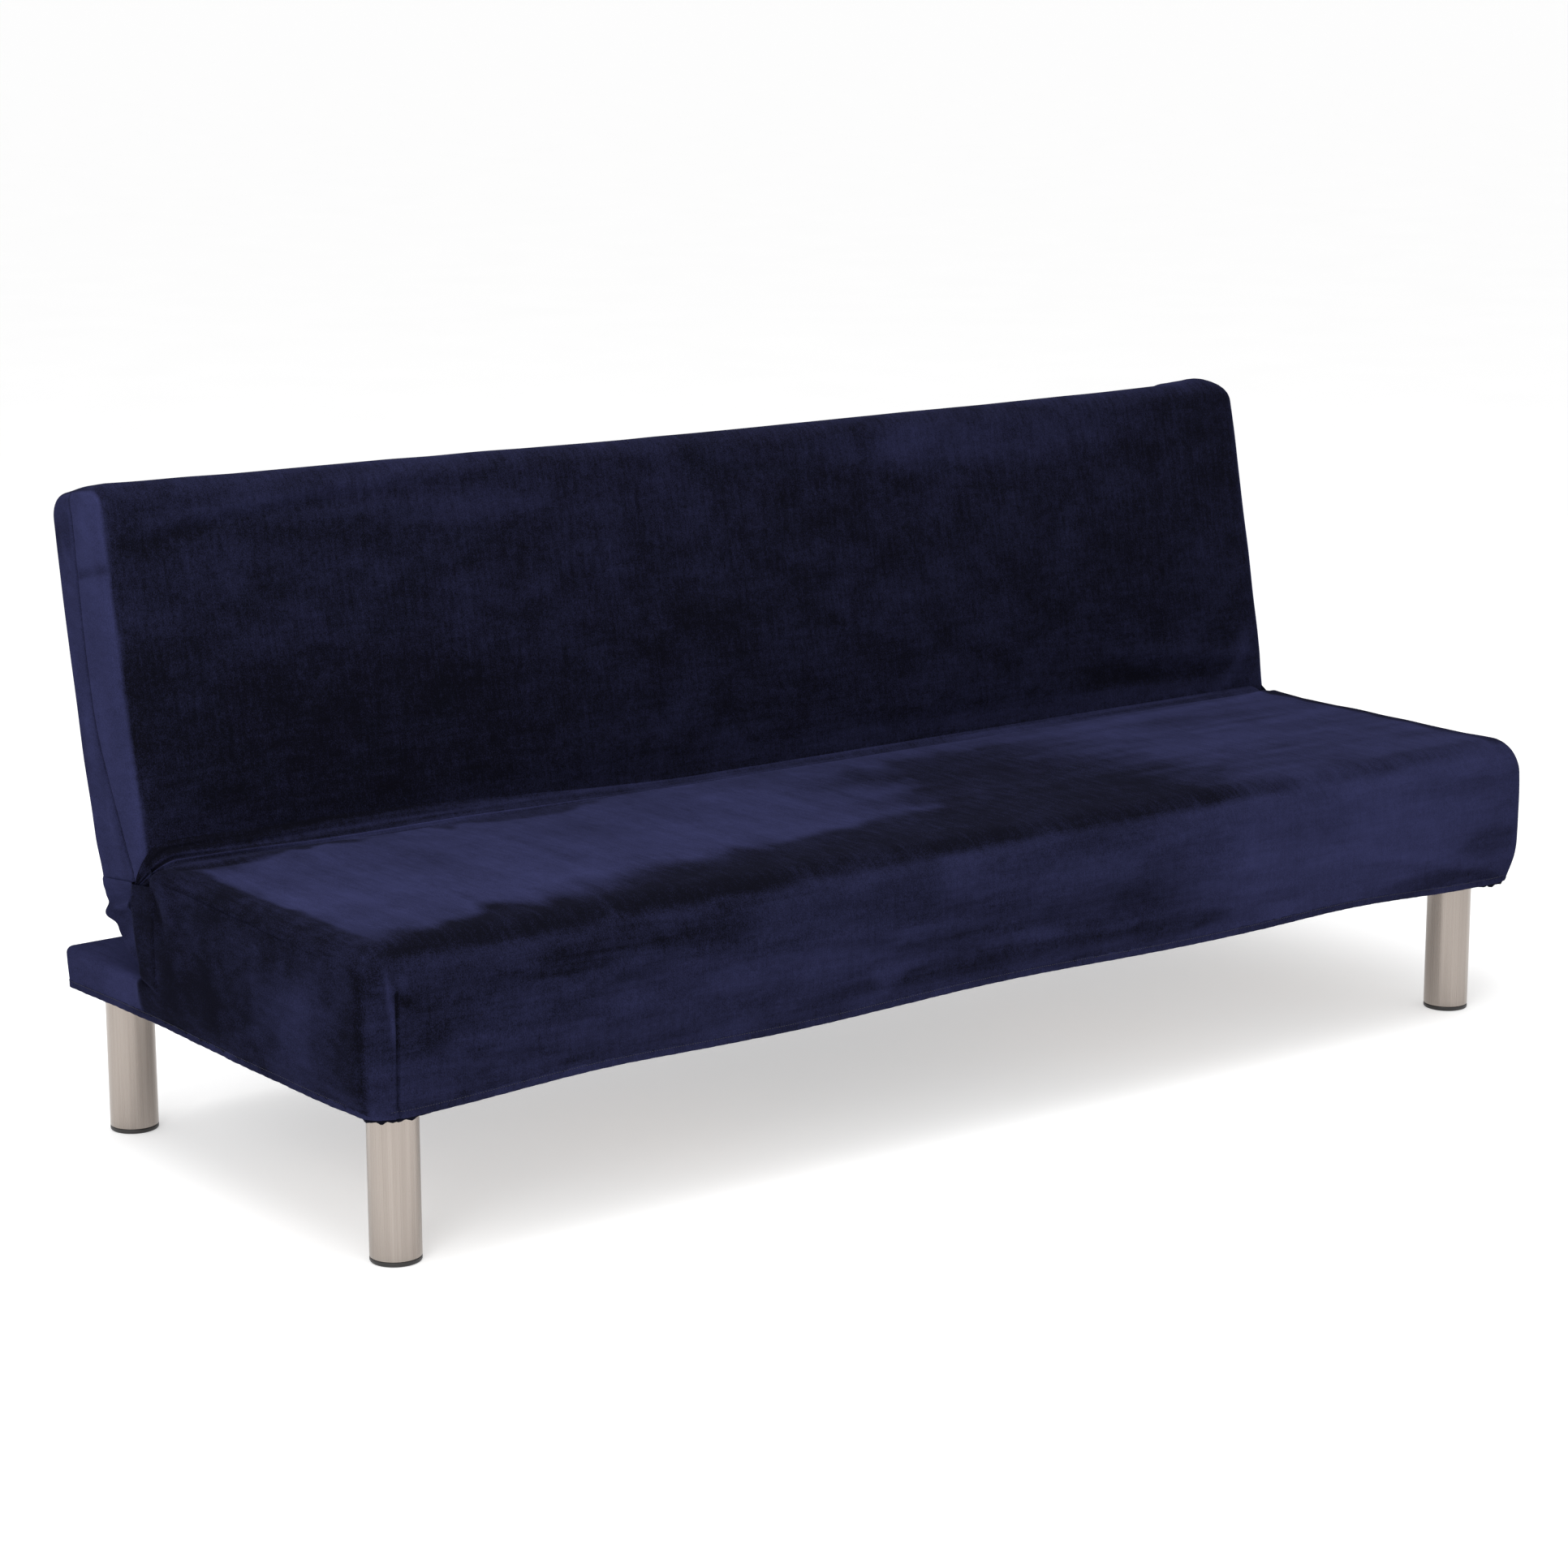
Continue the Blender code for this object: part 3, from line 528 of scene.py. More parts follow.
@dataclass(frozen=True)
class Grained(Finish):
    """A finish with one grain: powder coat, moulded plastic, zinc plate, foam or the floor's paint."""

    size: float = 1.0        # mm across its fine grain
    blotch: float = 40.0     # mm across its broad blotches
    depth: float = 0.05      # mm of relief
    glow: float = 0.0

    def paint(self, tree: Tree, shader: Node, place: Socket) -> None:
        """Lays fine grain over broad blotches, in colour and relief."""
        fine = self.grain(tree, place, (self.size,) * 3)
        broad = self.grain(tree, place, (self.blotch,) * 3, 3.0)
        self.tint(tree, shader, combine(tree, (fine, 0.5), (broad, 0.5)), 0.36, 0.64)
        shader.inputs["Emission Color"].default_value = linear("#FFFFFF")
        shader.inputs["Emission Strength"].default_value = self.glow
        self.bump(tree, shader, fine, self.depth)


@dataclass(frozen=True)
class Beech(Finish):
    """Bent beech lamellas under clear lacquer: pale pink-brown wood with short dark flecks."""

    dark: str = "#A9774A"
    light: str = "#D9AE7C"

    def paint(self, tree: Tree, shader: Node, place: Socket) -> None:
        """Grains the wood along Y, as the slats run, with flecks a few millimetres long."""
        grain = self.grain(tree, place, (2.2, 90.0, 2.2), 4.0)
        flecks = self.grain(tree, place, (0.8, 5.0, 0.8), 1.0)
        self.tint(tree, shader, combine(tree, (grain, 0.7), (flecks, 0.3)), 0.35, 0.65)
        self.bump(tree, shader, flecks, 0.03)


class Slot(Enum):
    """The record's material slots."""

    VELVET = "velvet"
    FOAM = "foam"
    FRAME_PAINT = "frame_paint"
    BEECH = "beech"
    STAINLESS = "stainless"
    ZINC = "zinc"
    PLASTIC = "plastic"


class Wardrobe:
    """Every finish of the sofa, made once."""

    def __init__(self) -> None:
        """Builds the materials and keys them by slot."""
        finishes = {
            Slot.VELVET: Velvet("stretch_velvet", 0.82),
            # Open-cell polyurethane: flat grey, with cells about a millimetre across.
            Slot.FOAM: Grained("upholstery_foam", 0.95, 0.0, "#8E8E90", "#B2B2B4", 1.6, 60, 0.9),
            # Epoxy powder coat baked on steel tube: satin black with a fine orange peel.
            Slot.FRAME_PAINT: Grained("powder_coat", 0.42, 0.0, "#1A1A1B", "#242425", 1.4, 90, 0.05),
            Slot.BEECH: Beech("lacquered_beech", 0.38),
            Slot.STAINLESS: BrushedSteel("brushed_stainless", 0.30, 1.0),
            # Zinc electroplated on pressed steel: grey with a faint yellow and a cloudy spangle.
            Slot.ZINC: Grained("zinc_plate", 0.36, 1.0, "#9C9B93", "#C6C5BD", 3.0, 18, 0.02),
            # Injection-moulded polypropylene: near black, with a fine spark-eroded texture.
            Slot.PLASTIC: Grained("moulded_polypropylene", 0.48, 0.0, "#1C1A1A", "#2A2727", 0.7, 20, 0.04),
        }
        self.by_slot = {slot: finish.material() for slot, finish in finishes.items()}
        self.thread = SewingThread("polyester_thread", 0.6).material()

    def __getitem__(self, slot: Slot) -> Material:
        """Returns a slot's material."""
        return self.by_slot[slot]


def enlist(piece: Piece, body: str | None = None, replaced: tuple[str, ...] = ()) -> Piece:
    """Says which body a piece rides on and which solids it stands for.

    Args:
        piece: The piece.
        body: The body it rides on, or None to leave it on no body.
        replaced: The CAD nodes it stands for.

    Returns:
        The piece.
    """
    if body:
        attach(piece, body)
    if replaced:
        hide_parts(*replaced)
    return piece


# ---------------------------------------------------------------- the slipcover
# Brush strokes of painted sheen on the seat, on the seat's front face and on the back's front. Each row
# holds two places and two reaches along the face in metres, then the painted sheen, the strength and the softness
# of the edge.
SEAT_STROKES = (
    (0.27, -0.02, 0.27, 0.09, 0.10, 0.90, 0.8),
    (0.22, -0.15, 0.24, 0.05, 0.12, 0.9, 0.8),
    (0.30, 0.095, 0.40, 0.030, 0.50, 0.7, 0.8),
    (0.06, -0.28, 0.62, 0.075, 0.06, 0.9, 0.6),
    (0.76, -0.06, 0.38, 0.26, 0.72, 0.9, 0.8),
    (0.72, -0.28, 0.30, 0.11, 0.58, 0.9, 0.8),
    (0.30, -0.245, 0.028, 0.05, 0.02, 0.9, 0.3),
    (0.42, -0.22, 0.05, 0.022, 0.2, 0.7, 0.5),
    (0.63, -0.01, 0.13, 0.04, 0.42, 0.6, 0.8),
    (0.15, -0.015, 0.055, 0.018, 0.10, 0.9, 0.5),
    (-0.84, 0.105, 0.13, 0.040, 0.08, 0.9, 0.6),
    (-0.72, 0.085, 0.07, 0.018, 0.10, 0.9, 0.6),
    (-0.45, 0.105, 0.16, 0.022, 0.2, 0.8, 0.5),
    (-0.12, 0.075, 0.10, 0.028, 0.5, 0.6, 0.8),
)
FACE_STROKES = (
    (-0.05, 0.222, 0.26, 0.010, 0.14, 0.7, 0.7),
    (0.27, 0.220, 0.09, 0.014, 0.16, 0.7, 0.7),
    (-0.66, 0.320, 0.06, 0.008, 0.10, 0.7, 0.7),
    (0.78, 0.205, 0.14, 0.016, 0.22, 0.7, 0.9),
    (0.86, 0.250, 0.05, 0.020, 0.30, 0.6, 0.9),
    (-0.20, 0.236, 0.03, 0.020, 0.62, 0.7, 0.7),
)
BACK_STROKES = (
    (0.42, 0.43, 0.26, 0.035, 0.34, 0.8, 1.0),
    (0.30, 0.435, 0.05, 0.022, 0.45, 0.7, 0.8),
    (-0.42, 0.405, 0.10, 0.020, 0.36, 0.7, 0.9),
    (-0.60, 0.43, 0.26, 0.018, 0.32, 0.6, 0.9),
    (0.62, 0.04, 0.36, 0.014, 0.32, 0.8, 0.9),
    (0.20, 0.045, 0.30, 0.012, 0.26, 0.7, 0.9),
    (-0.60, 0.14, 0.30, 0.10, 0.03, 0.7, 0.8),
)


@dataclass
class SeatCover:
    """The slipcover over the seat and the ledge behind it: one cloth, from the front hem over the seat,
    down behind it, over the ledge and down to the rear hem, with both end panels."""

    folds: list[Fold]
    front_radius: float = 0.045
    end_radius: float = 0.025
    rear_radius: float = 0.014
    ledge_radius: float = 0.010
    valley_radius: float = 0.006
    step_radius: float = 0.007
    crown: float = 0.0045
    arch: float = 0.011
    seam_inset: float = 0.0355
    columns: int = 292
    end_steps: int = 8
    low_steps: int = 9
    up_steps: int = 30
    top_steps: int = 74
    ledge_steps: int = 36

    def __post_init__(self) -> None:
        """Takes the cover's limits from the CAD solids that it stands for."""
        seat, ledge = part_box("seat_cover"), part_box("ledge_cover")
        self.end, self.front, self.rear = seat[1].x, seat[0].y, ledge[1].y
        self.seat_rear, self.top, self.ledge, self.hem = seat[1].y, seat[1].z, ledge[1].z, seat[0].z

    def profile(self) -> tuple[Array, Array]:
        """The cover's outline from the front hem to the rear hem, and its end radius at each row.

        Straight runs and quarter arcs in six stretches whose row counts match across the end panels.
        """
        front, back, rear = self.front, self.seat_rear, self.rear
        top, ledge, hem = self.top, self.ledge, self.hem
        big, small, low, valley = self.front_radius, self.rear_radius, self.ledge_radius, self.valley_radius
        up_arc, down_arc, valley_arc, low_arc = 12, 5, 5, 5
        outline = np.vstack([
            line((front, hem), (front, ledge - low), self.low_steps, (-1, 0)),
            line((front, ledge - low), (front, top - big), self.up_steps - up_arc, (-1, 0)),
            arc((front + big, top - big), big, 180, 90, up_arc),
            line((front + big, top), (back - small, top), self.top_steps, (0, 1)),
            arc((back - small, top - small), small, 90, 0, down_arc),
            line((back, top - small), (back, ledge + valley), self.up_steps - down_arc - valley_arc, (1, 0)),
            arc((back + valley, ledge + valley), valley, 180, 270, valley_arc, -1),
            line((back + valley, ledge), (rear - low, ledge), self.ledge_steps, (0, 1)),
            arc((rear - low, ledge - low), low, 90, 0, low_arc),
            line((rear, ledge - low), (rear, hem), self.low_steps - low_arc, (1, 0)),
            np.array([[rear, hem, 1.0, 0.0]]),
        ])
        down = self.low_steps + self.up_steps + self.top_steps
        landed = down + self.up_steps
        radius = np.interp(
            np.arange(len(outline)), [down - 12, down + 3, landed - valley_arc, landed],
            [self.end_radius, self.step_radius, self.step_radius, low],
        )
        return outline, radius

    def across(self) -> Array:
        """Places along X as shares of the straight part's half length, closer together at the seam."""
        half = self.end - self.end_radius
        even = np.linspace(-half, half, self.columns)
        seam = self.seam_inset - self.end
        even = even[np.abs(even - seam) > 0.0075]
        return np.sort(np.concatenate([even, seam + np.linspace(-0.006, 0.006, 11)])) / half

    def swept(self) -> tuple[Array, Array]:
        """Carries the outline along X: points and normals, outline rows x columns x 3."""
        return swept(*self.profile(), self.across(), self.end, self.end_steps)

    def end_panel(self, rim: Array, side: int) -> list[Shape]:
        """Fills one end: rungs from the front edge to the rear edge, in a low and a high block.

        Args:
            rim: The swept outline at that end.
            side: -1 for the left end, 1 for the right.

        Returns:
            The two blocks, which share their edge points with the rim.
        """
        low, up, top = self.low_steps, self.up_steps, self.top_steps
        corner = low + up + top + up
        seat_share = np.linspace(0, 1, top + 1)[:, None]
        ledge_share = np.linspace(0, 1, self.ledge_steps + 1)[1:, None]
        rows = []
        for start, stop in zip(rim[:low + 1], rim[::-1]):
            middle = start + (rim[corner] - start) * [1, 1, 0]
            seat_run = start + (middle - start) * seat_share
            rows.append(np.vstack([seat_run, middle + (stop - middle) * ledge_share]))
        front, rear = rim[low:low + up + 1, None], rim[low + up + top:corner + 1][::-1, None]
        blocks = (np.array(rows), front + (rear - front) * seat_share)
        return [Shape.sheet(b, np.array([side, 0.0, 0.0])) for b in blocks]

    def flat_shape(self) -> Shape:
        """Joins the swept cloth and its end panels."""
        points, normals = self.swept()
        panels = self.end_panel(points[:, 0], -1) + self.end_panel(points[:, -1], 1)
        return Shape.joined([Shape.sheet(points, normals), *panels])

    def settle(self, points: Array, normals: Array) -> Array:
        """Lets the cloth take its shape over the padding.

        Each point moves along its normal by the crown of the seat, the fullness of the upright faces,
        slow unevenness and the folds; then the front hem is drawn up into a low arch, the lower corners
        are drawn in by the elastic and the seam beside the left front corner is pulled in.

        Args:
            points: Places on the plain cover.
            normals: Its outward normals there.

        Returns:
            The settled places.
        """
        x, y, z = points.T
        up, ahead, _, out = facing(normals)
        high = np.clip((z - self.hem) / (self.top - self.hem), 0, 1)
        across, deep = x / self.end, (2 * y - self.front - self.seat_rear) / (self.seat_rear - self.front)
        crown = self.crown * (1 - across**6) * np.clip(1 - deep**4, -0.2, 1)
        crown += 0.006 * hump(x, -0.80, 0.13) * hump(y, 0.075, 0.05)
        crown -= 0.0035 * hump(x, 0.05, 0.34) * hump(y, -0.10, 0.13)
        rise = up * crown * smooth((self.seat_rear + 0.004 - y) / 0.02)
        rise += ahead * 0.0045 * np.sin(np.pi * high) * (1 - across**10)
        on_end = smooth((self.seat_rear + 0.052 - y) / 0.02)
        rise += out * self.fullness(z) * on_end * smooth((z - self.hem) / 0.03)
        rise += layered(points, (0.0013, (0.21, 0.17, 0.12), 3), (0.0007, (0.065, 0.05, 0.04), 4))
        rise += ahead * 0.0008 * drift(points, (0.16, 0.05, 0.022), 5)
        rise += sum(fold.rise(points) for fold in self.folds)
        facing_back = np.clip(normals[:, 1], 0, 1) * (z > self.ledge + 0.01)
        rise = rise * (1 - facing_back) - 0.0012 * facing_back
        moved = points + normals * rise[:, None]
        near_front = smooth((self.front + 0.10 - y) / 0.10)
        near_rear = smooth((y - self.rear + 0.06) / 0.06)
        lift = self.arch * smooth((0.90 - np.abs(x + 0.02)) / 0.36) * (near_front + 0.5 * near_rear)
        inside = smooth((y - self.front) / 0.1) * smooth((self.rear - y) / 0.1)
        lift += 0.004 * inside * hump(y, 0.12, 0.16) * out
        moved[:, 2] += lift * (1 - high) ** 2 * (0.75 + 0.25 * np.cos(9 * x))
        edge = np.clip(1 - (z - self.hem) / 0.055, 0, 1) ** 2
        at_end = smooth((np.abs(x) - self.end + 0.055) / 0.055)
        moved[:, 1] += 0.009 * edge * at_end * near_front
        moved[:, 0] -= np.sign(x) * 0.006 * edge * at_end * (0.5 + 0.5 * near_front)
        seam_run = smooth((z - 0.176) / 0.01) * smooth((0.338 - z) / 0.01)
        moved[:, 1] += 0.0034 * hump(x, self.seam_inset - self.end, 0.0021) * seam_run * ahead
        return moved

    def fullness(self, z: Array) -> Array:
        """How far the end panels stand out at a height: a low arch from the hem to the top."""
        return 0.0025 + 0.0045 * np.sin(np.pi * np.clip((z - self.hem) / (self.top - self.hem), 0, 1))

    def end_face(self, z: Array) -> Array:
        """The end panel's distance from the middle at a height, with the round upper edge."""
        r = self.end_radius
        over = np.clip(z - (self.top - r), 0, r * 0.999)
        return self.end + self.fullness(z) - r + np.sqrt(r**2 - over**2)

    def seat_sheen(self, points: Array) -> Array:
        """Painted sheen on top of the seat: pale behind a ragged brushed edge, dark in front, with strokes."""
        x = points[:, 0]
        ragged = points.copy()
        ragged[:, 1] += layered(
            points, (0.024, (0.040, 0.30, 0.5), 11), (0.026, (0.13, 0.5, 0.5), 12),
            (0.010, (0.017, 0.12, 0.5), 20), (0.010, (0.03, 0.04, 0.5), 26),
        )
        ragged[:, 0] += layered(points, (0.018, (0.5, 0.03, 0.03), 13), (0.008, (0.02, 0.012, 0.02), 27))
        edge = np.interp(
            ragged[:, 0], (-0.95, -0.80, -0.70, -0.60, -0.45, -0.30, -0.05, 0.03, 0.08, 0.13, 0.30, 0.55),
            (-0.345, -0.308, -0.295, -0.29, -0.275, -0.26, -0.262, -0.20, -0.10, 0.0, 0.02, 0.05),
        )
        soft = 0.050 + 0.030 * drift(points, (0.09, 0.3, 0.5), 35)
        nap_and_sheen = 0.05 + 0.60 * smooth((ragged[:, 1] - edge) / soft + 0.5)
        nap_and_sheen += layered(points, (0.10, (0.020, 0.22, 0.5), 28), (0.12, (0.12, 0.10, 0.5), 29))
        nap_and_sheen += 0.12 * drift(points, (0.09, 0.018, 0.5), 37) * smooth((x + 0.1) / 0.4)
        nap_and_sheen = Stroke.brushed(ragged, nap_and_sheen, 2, 0.38, 0.2, SEAT_STROKES)
        return nap_and_sheen + 0.14 * drift(points, (0.11, 0.016, 0.5), 38) * smooth((x - 0.2) / 0.3)

    def face_sheen(self, points: Array) -> Array:
        """Painted sheen on the front face: smudged along it, with painted shade along the seam and a painted
        highlight beside it.
        """
        x, _, z = points.T
        level = points.copy()
        level[:, 2] += 0.010 * drift(points, (0.35, 0.1, 0.03), 14)
        nap_and_sheen = 0.38 + 0.36 * smooth((x - 0.12) / 0.4)
        nap_and_sheen -= 0.20 * smooth((0.1 - x) / 0.6) * smooth((z - 0.26) / 0.08)
        nap_and_sheen += layered(points, (0.14, (0.26, 0.1, 0.040), 15), (0.12, (0.07, 0.05, 0.018), 16))
        nap_and_sheen = Stroke.brushed(level, nap_and_sheen, 1, -0.36, 0.1, FACE_STROKES)
        from_seam = x + self.end - self.seam_inset
        # painted shade along the seam's groove, strongest near the top
        seam = (0.18 + 0.30 * smooth((z - 0.29) / 0.03)) * smooth((0.350 - z) / 0.03)
        nap_and_sheen -= seam * hump(from_seam, 0, 0.0022)
        # painted highlight on the curl of cloth beside the seam
        return nap_and_sheen + 0.44 * hump(from_seam + 0.006 + 0.10 * (z - 0.30), 0, 0.0032) * hump(z, 0.315, 0.045)

    def end_sheen(self, points: Array) -> Array:
        """Painted sheen on the end panels: dark, with a few paler smudges near the front."""
        _, y, z = points.T
        nap_and_sheen = 0.10 + layered(points, (0.10, (0.1, 0.05, 0.07), 17), (0.05, (0.1, 0.02, 0.03), 30))
        nap_and_sheen += 0.26 * hump(y, -0.20, 0.070) * smooth((0.35 - z) / 0.06) + 0.12 * hump(y, -0.30, 0.04)
        return nap_and_sheen + 0.16 * hump(y, -0.31, 0.05) * hump(z, 0.20, 0.02)

    def pile(self, points: Array, normals: Array) -> Array:
        """Painted sheen and shade over the cover, from 0, dark, to 1, pale: each face shaded by how it
        meets the light, the ledge painted pale, and every fold with a painted highlight on its ridge and
        painted shade in its furrow."""
        up, ahead, behind, _ = facing(normals)
        seat, face, end = self.seat_sheen(points), self.face_sheen(points), self.end_sheen(points)
        # painted light: the ledge's top is kept pale
        shelf = 0.72 + 0.14 * drift(points, (0.12, 0.08, 0.05), 18)
        rear = 0.45 + 0.2 * drift(points, (0.16, 0.05, 0.03), 19)
        past_seat = smooth((points[:, 1] - self.seat_rear - 0.03) / 0.015)
        end += (shelf - end) * past_seat
        seat += (shelf - seat) * past_seat
        shade = seat + (face - seat) * smooth((ahead - up) * 1.2 + 0.5)
        shade += (rear - shade) * behind
        from_end = self.end - np.abs(points[:, 0]) + 0.004 * drift(points, (0.03, 0.03, 0.03), 33)
        panel = smooth((0.030 + 0.012 * np.sqrt(up) - from_end) / 0.012)
        panel *= 1 - smooth((np.sqrt(ahead) - 0.25) / 0.3)
        panel = np.maximum(panel, smooth((np.abs(normals[:, 0]) - 0.78) / 0.16))
        shade += (end - shade) * panel
        # painted highlight on fold ridges, painted shade in their furrows
        return np.clip(shade + FOLD_SHADE * sum(fold.rise(points) for fold in self.folds), 0, 1)

    def hem_line(self) -> tuple[Array, Array]:
        """The settled lower edge of the cover as a closed loop of places and outward normals."""
        points, normals = self.swept()
        left, right = self.end_panel(points[:, 0], -1)[0], self.end_panel(points[:, -1], 1)[0]
        inner = slice(1, self.top_steps + self.ledge_steps)
        right_run, left_run = right.points[inner], left.points[inner][::-1]
        loop = np.vstack([points[0], right_run, points[-1][::-1], left_run])
        way = np.vstack([
            normals[0], np.tile([1.0, 0, 0], (len(right_run), 1)),
            normals[-1][::-1], np.tile([-1.0, 0, 0], (len(left_run), 1)),
        ])
        return self.settle(loop, way), way

    def build(self, wardrobe: Wardrobe) -> Piece:
        """Builds the cloth, settles it and paints its pile's sheen and shade."""
        shape = self.flat_shape()
        nap_and_sheen = self.pile(shape.points, shape.normals)
        shape.points = self.settle(shape.points, shape.normals)
        lay = 0.15 + 0.75 * shape.normals[:, 1] ** 2
        cover = shape.build("seat_slipcover", wardrobe[Slot.VELVET], nap_and_sheen, lay)
        return enlist(cover, "base", ("seat_cover", "ledge_cover"))


@dataclass
class Hem:
    """The turned hem of the slipcover with its line of stitches, and the elastic edge under it."""

    loop: Array
    normals: Array
    height: float = 0.011
    thickness: float = 0.0026
    band_pitch: float = 0.006
    stitch_pitch: float = 0.0034
    stitch_length: float = 0.0022
    stitch_width: float = 0.0008
    ruffle_pitch: float = 0.0032

    def evened(self, pitch: float) -> tuple[Array, Array, Array]:
        """Walks round the loop in equal steps.

        Args:
            pitch: Wanted distance between places.

        Returns:
            Places, outward normals and tangents.
        """
        closed = np.vstack([self.loop, self.loop[:1]])
        way = np.vstack([self.normals, self.normals[:1]])
        walked = np.concatenate([[0], np.cumsum(np.linalg.norm(np.diff(closed, axis=0), axis=1))])
        count = round(walked[-1] / pitch)
        at = np.arange(count) * walked[-1] / count
        places, outward = (
            np.column_stack([np.interp(at, walked, run[:, i]) for i in range(3)]) for run in (closed, way)
        )
        outward /= np.linalg.norm(outward, axis=1, keepdims=True)
        along = np.roll(places, -1, axis=0) - np.roll(places, 1, axis=0)
        return places, outward, along / np.linalg.norm(along, axis=1, keepdims=True)

    def band(self, material: Material) -> Piece:
        """The folded hem: a rounded strip carried round the lower edge of the cover."""
        places, outward, _ = self.evened(self.band_pitch)
        angle = np.linspace(0, 2 * np.pi, 14, endpoint=False)
        out, up = (np.sign(way) * np.abs(way) ** 0.6 for way in (np.cos(angle), np.sin(angle)))
        turn = np.arange(len(places))
        pucker = 0.0004 * np.sin(turn * 2.1) + 0.0003 * np.sin(turn * 0.83) - 0.0002
        stand = self.thickness / 2 * out + pucker[:, None]
        section = places[:, None] + outward[:, None] * stand[..., None]
        section[..., 2] += self.height / 2 * (1 + up) - 0.0016
        ring = np.concatenate([section, section[:1]])
        shape = Shape.joined([Shape.sheet(ring, ring - ring.mean(1, keepdims=True), wrap=True)])
        nap_and_sheen = 0.46 + 0.15 * drift(shape.points, (0.09, 0.09, 0.02), 31)
        return shape.build("hem_band", material, nap_and_sheen)

    def stitches(self, thread: Material) -> Piece:
        """The line of stitches: short threads that rise from the band and dip at both ends."""
        places, outward, along = self.evened(self.stitch_pitch)
        share = np.linspace(-0.5, 0.5, 5)[:, None]
        angle = np.linspace(0, 2 * np.pi, 6, endpoint=False)[:, None]
        swell = np.sqrt(np.clip(1 - (2 * share) ** 2, 0.02, 1))
        centre = places + outward * (self.thickness / 2 + 0.0001) + np.array([0, 0, self.height - 0.0038])
        run = centre[:, None] + along[:, None] * share * self.stitch_length
        run = run - outward[:, None] * 0.0004 * (2 * share) ** 2
        across = np.cross(along, outward)
        ring = outward[:, None, None] * np.cos(angle) + across[:, None, None] * np.sin(angle)
        points = run[:, :, None] + ring * (self.stitch_width / 2 * swell)[..., None]
        count, rows, columns = points.shape[:3]
        caps = np.array([[0, 1, 2, 3], [0, 3, 4, 5]])
        tube = grid_faces(rows, columns, wrap=True)[:, ::-1]
        ends = np.vstack([caps, (caps + (rows - 1) * columns)[:, ::-1]])
        first = (np.arange(count) * rows * columns)[:, None, None]
        faces = np.vstack([(part + first).reshape(-1, 4) for part in (tube, ends)])
        points = points.reshape(-1, 3)
        return Shape(points, points, faces).build("hem_stitches", thread)

    def ruffle(self, material: Material) -> Piece:
        """The elastic edge: a narrow strip turned in under the hem, ruffled by its elastic and hanging a
        little lower at the front corners."""
        places, outward, _ = self.evened(self.ruffle_pitch)
        inward = np.linspace(0, 1, 7)
        turn = np.arange(len(places)) * self.ruffle_pitch * 2 * np.pi
        wave = np.sin(turn / 0.021) + 0.6 * np.sin(turn / 0.0133 + 1.2)
        sheet = places[:, None] - outward[:, None] * (0.001 + 0.022 * inward)[:, None]
        corner = smooth((np.abs(places[:, 0]) - 0.80) / 0.08) * smooth((-places[:, 1] - 0.28) / 0.06)
        sheet[..., 2] += 0.0012 + 0.0030 * inward**2 + 0.0013 * wave[:, None] * inward
        hang = np.sin(np.pi * np.minimum(inward * 1.3, 1) ** 0.7)
        sheet[..., 2] -= (corner * (0.0085 + 0.0016 * wave))[:, None] * hang
        sheet = np.concatenate([sheet, sheet[:1]])
        shape = Shape.joined([Shape.sheet(sheet, np.array([0.0, 0.0, -1.0]))])
        # painted shade: the strip turned in under the hem is kept darkest
        nap_and_sheen = 0.2 * drift(shape.points, (0.03, 0.03, 0.03), 32) - 0.15
        return shape.build("hem_elastic", material, nap_and_sheen)

    def build(self, wardrobe: Wardrobe) -> list[Piece]:
        """Builds the band, its stitches and the elastic edge."""
        velvet = wardrobe[Slot.VELVET]
        pieces = [self.band(velvet), self.stitches(wardrobe.thread), self.ruffle(velvet)]
        return [enlist(piece, "base") for piece in pieces]


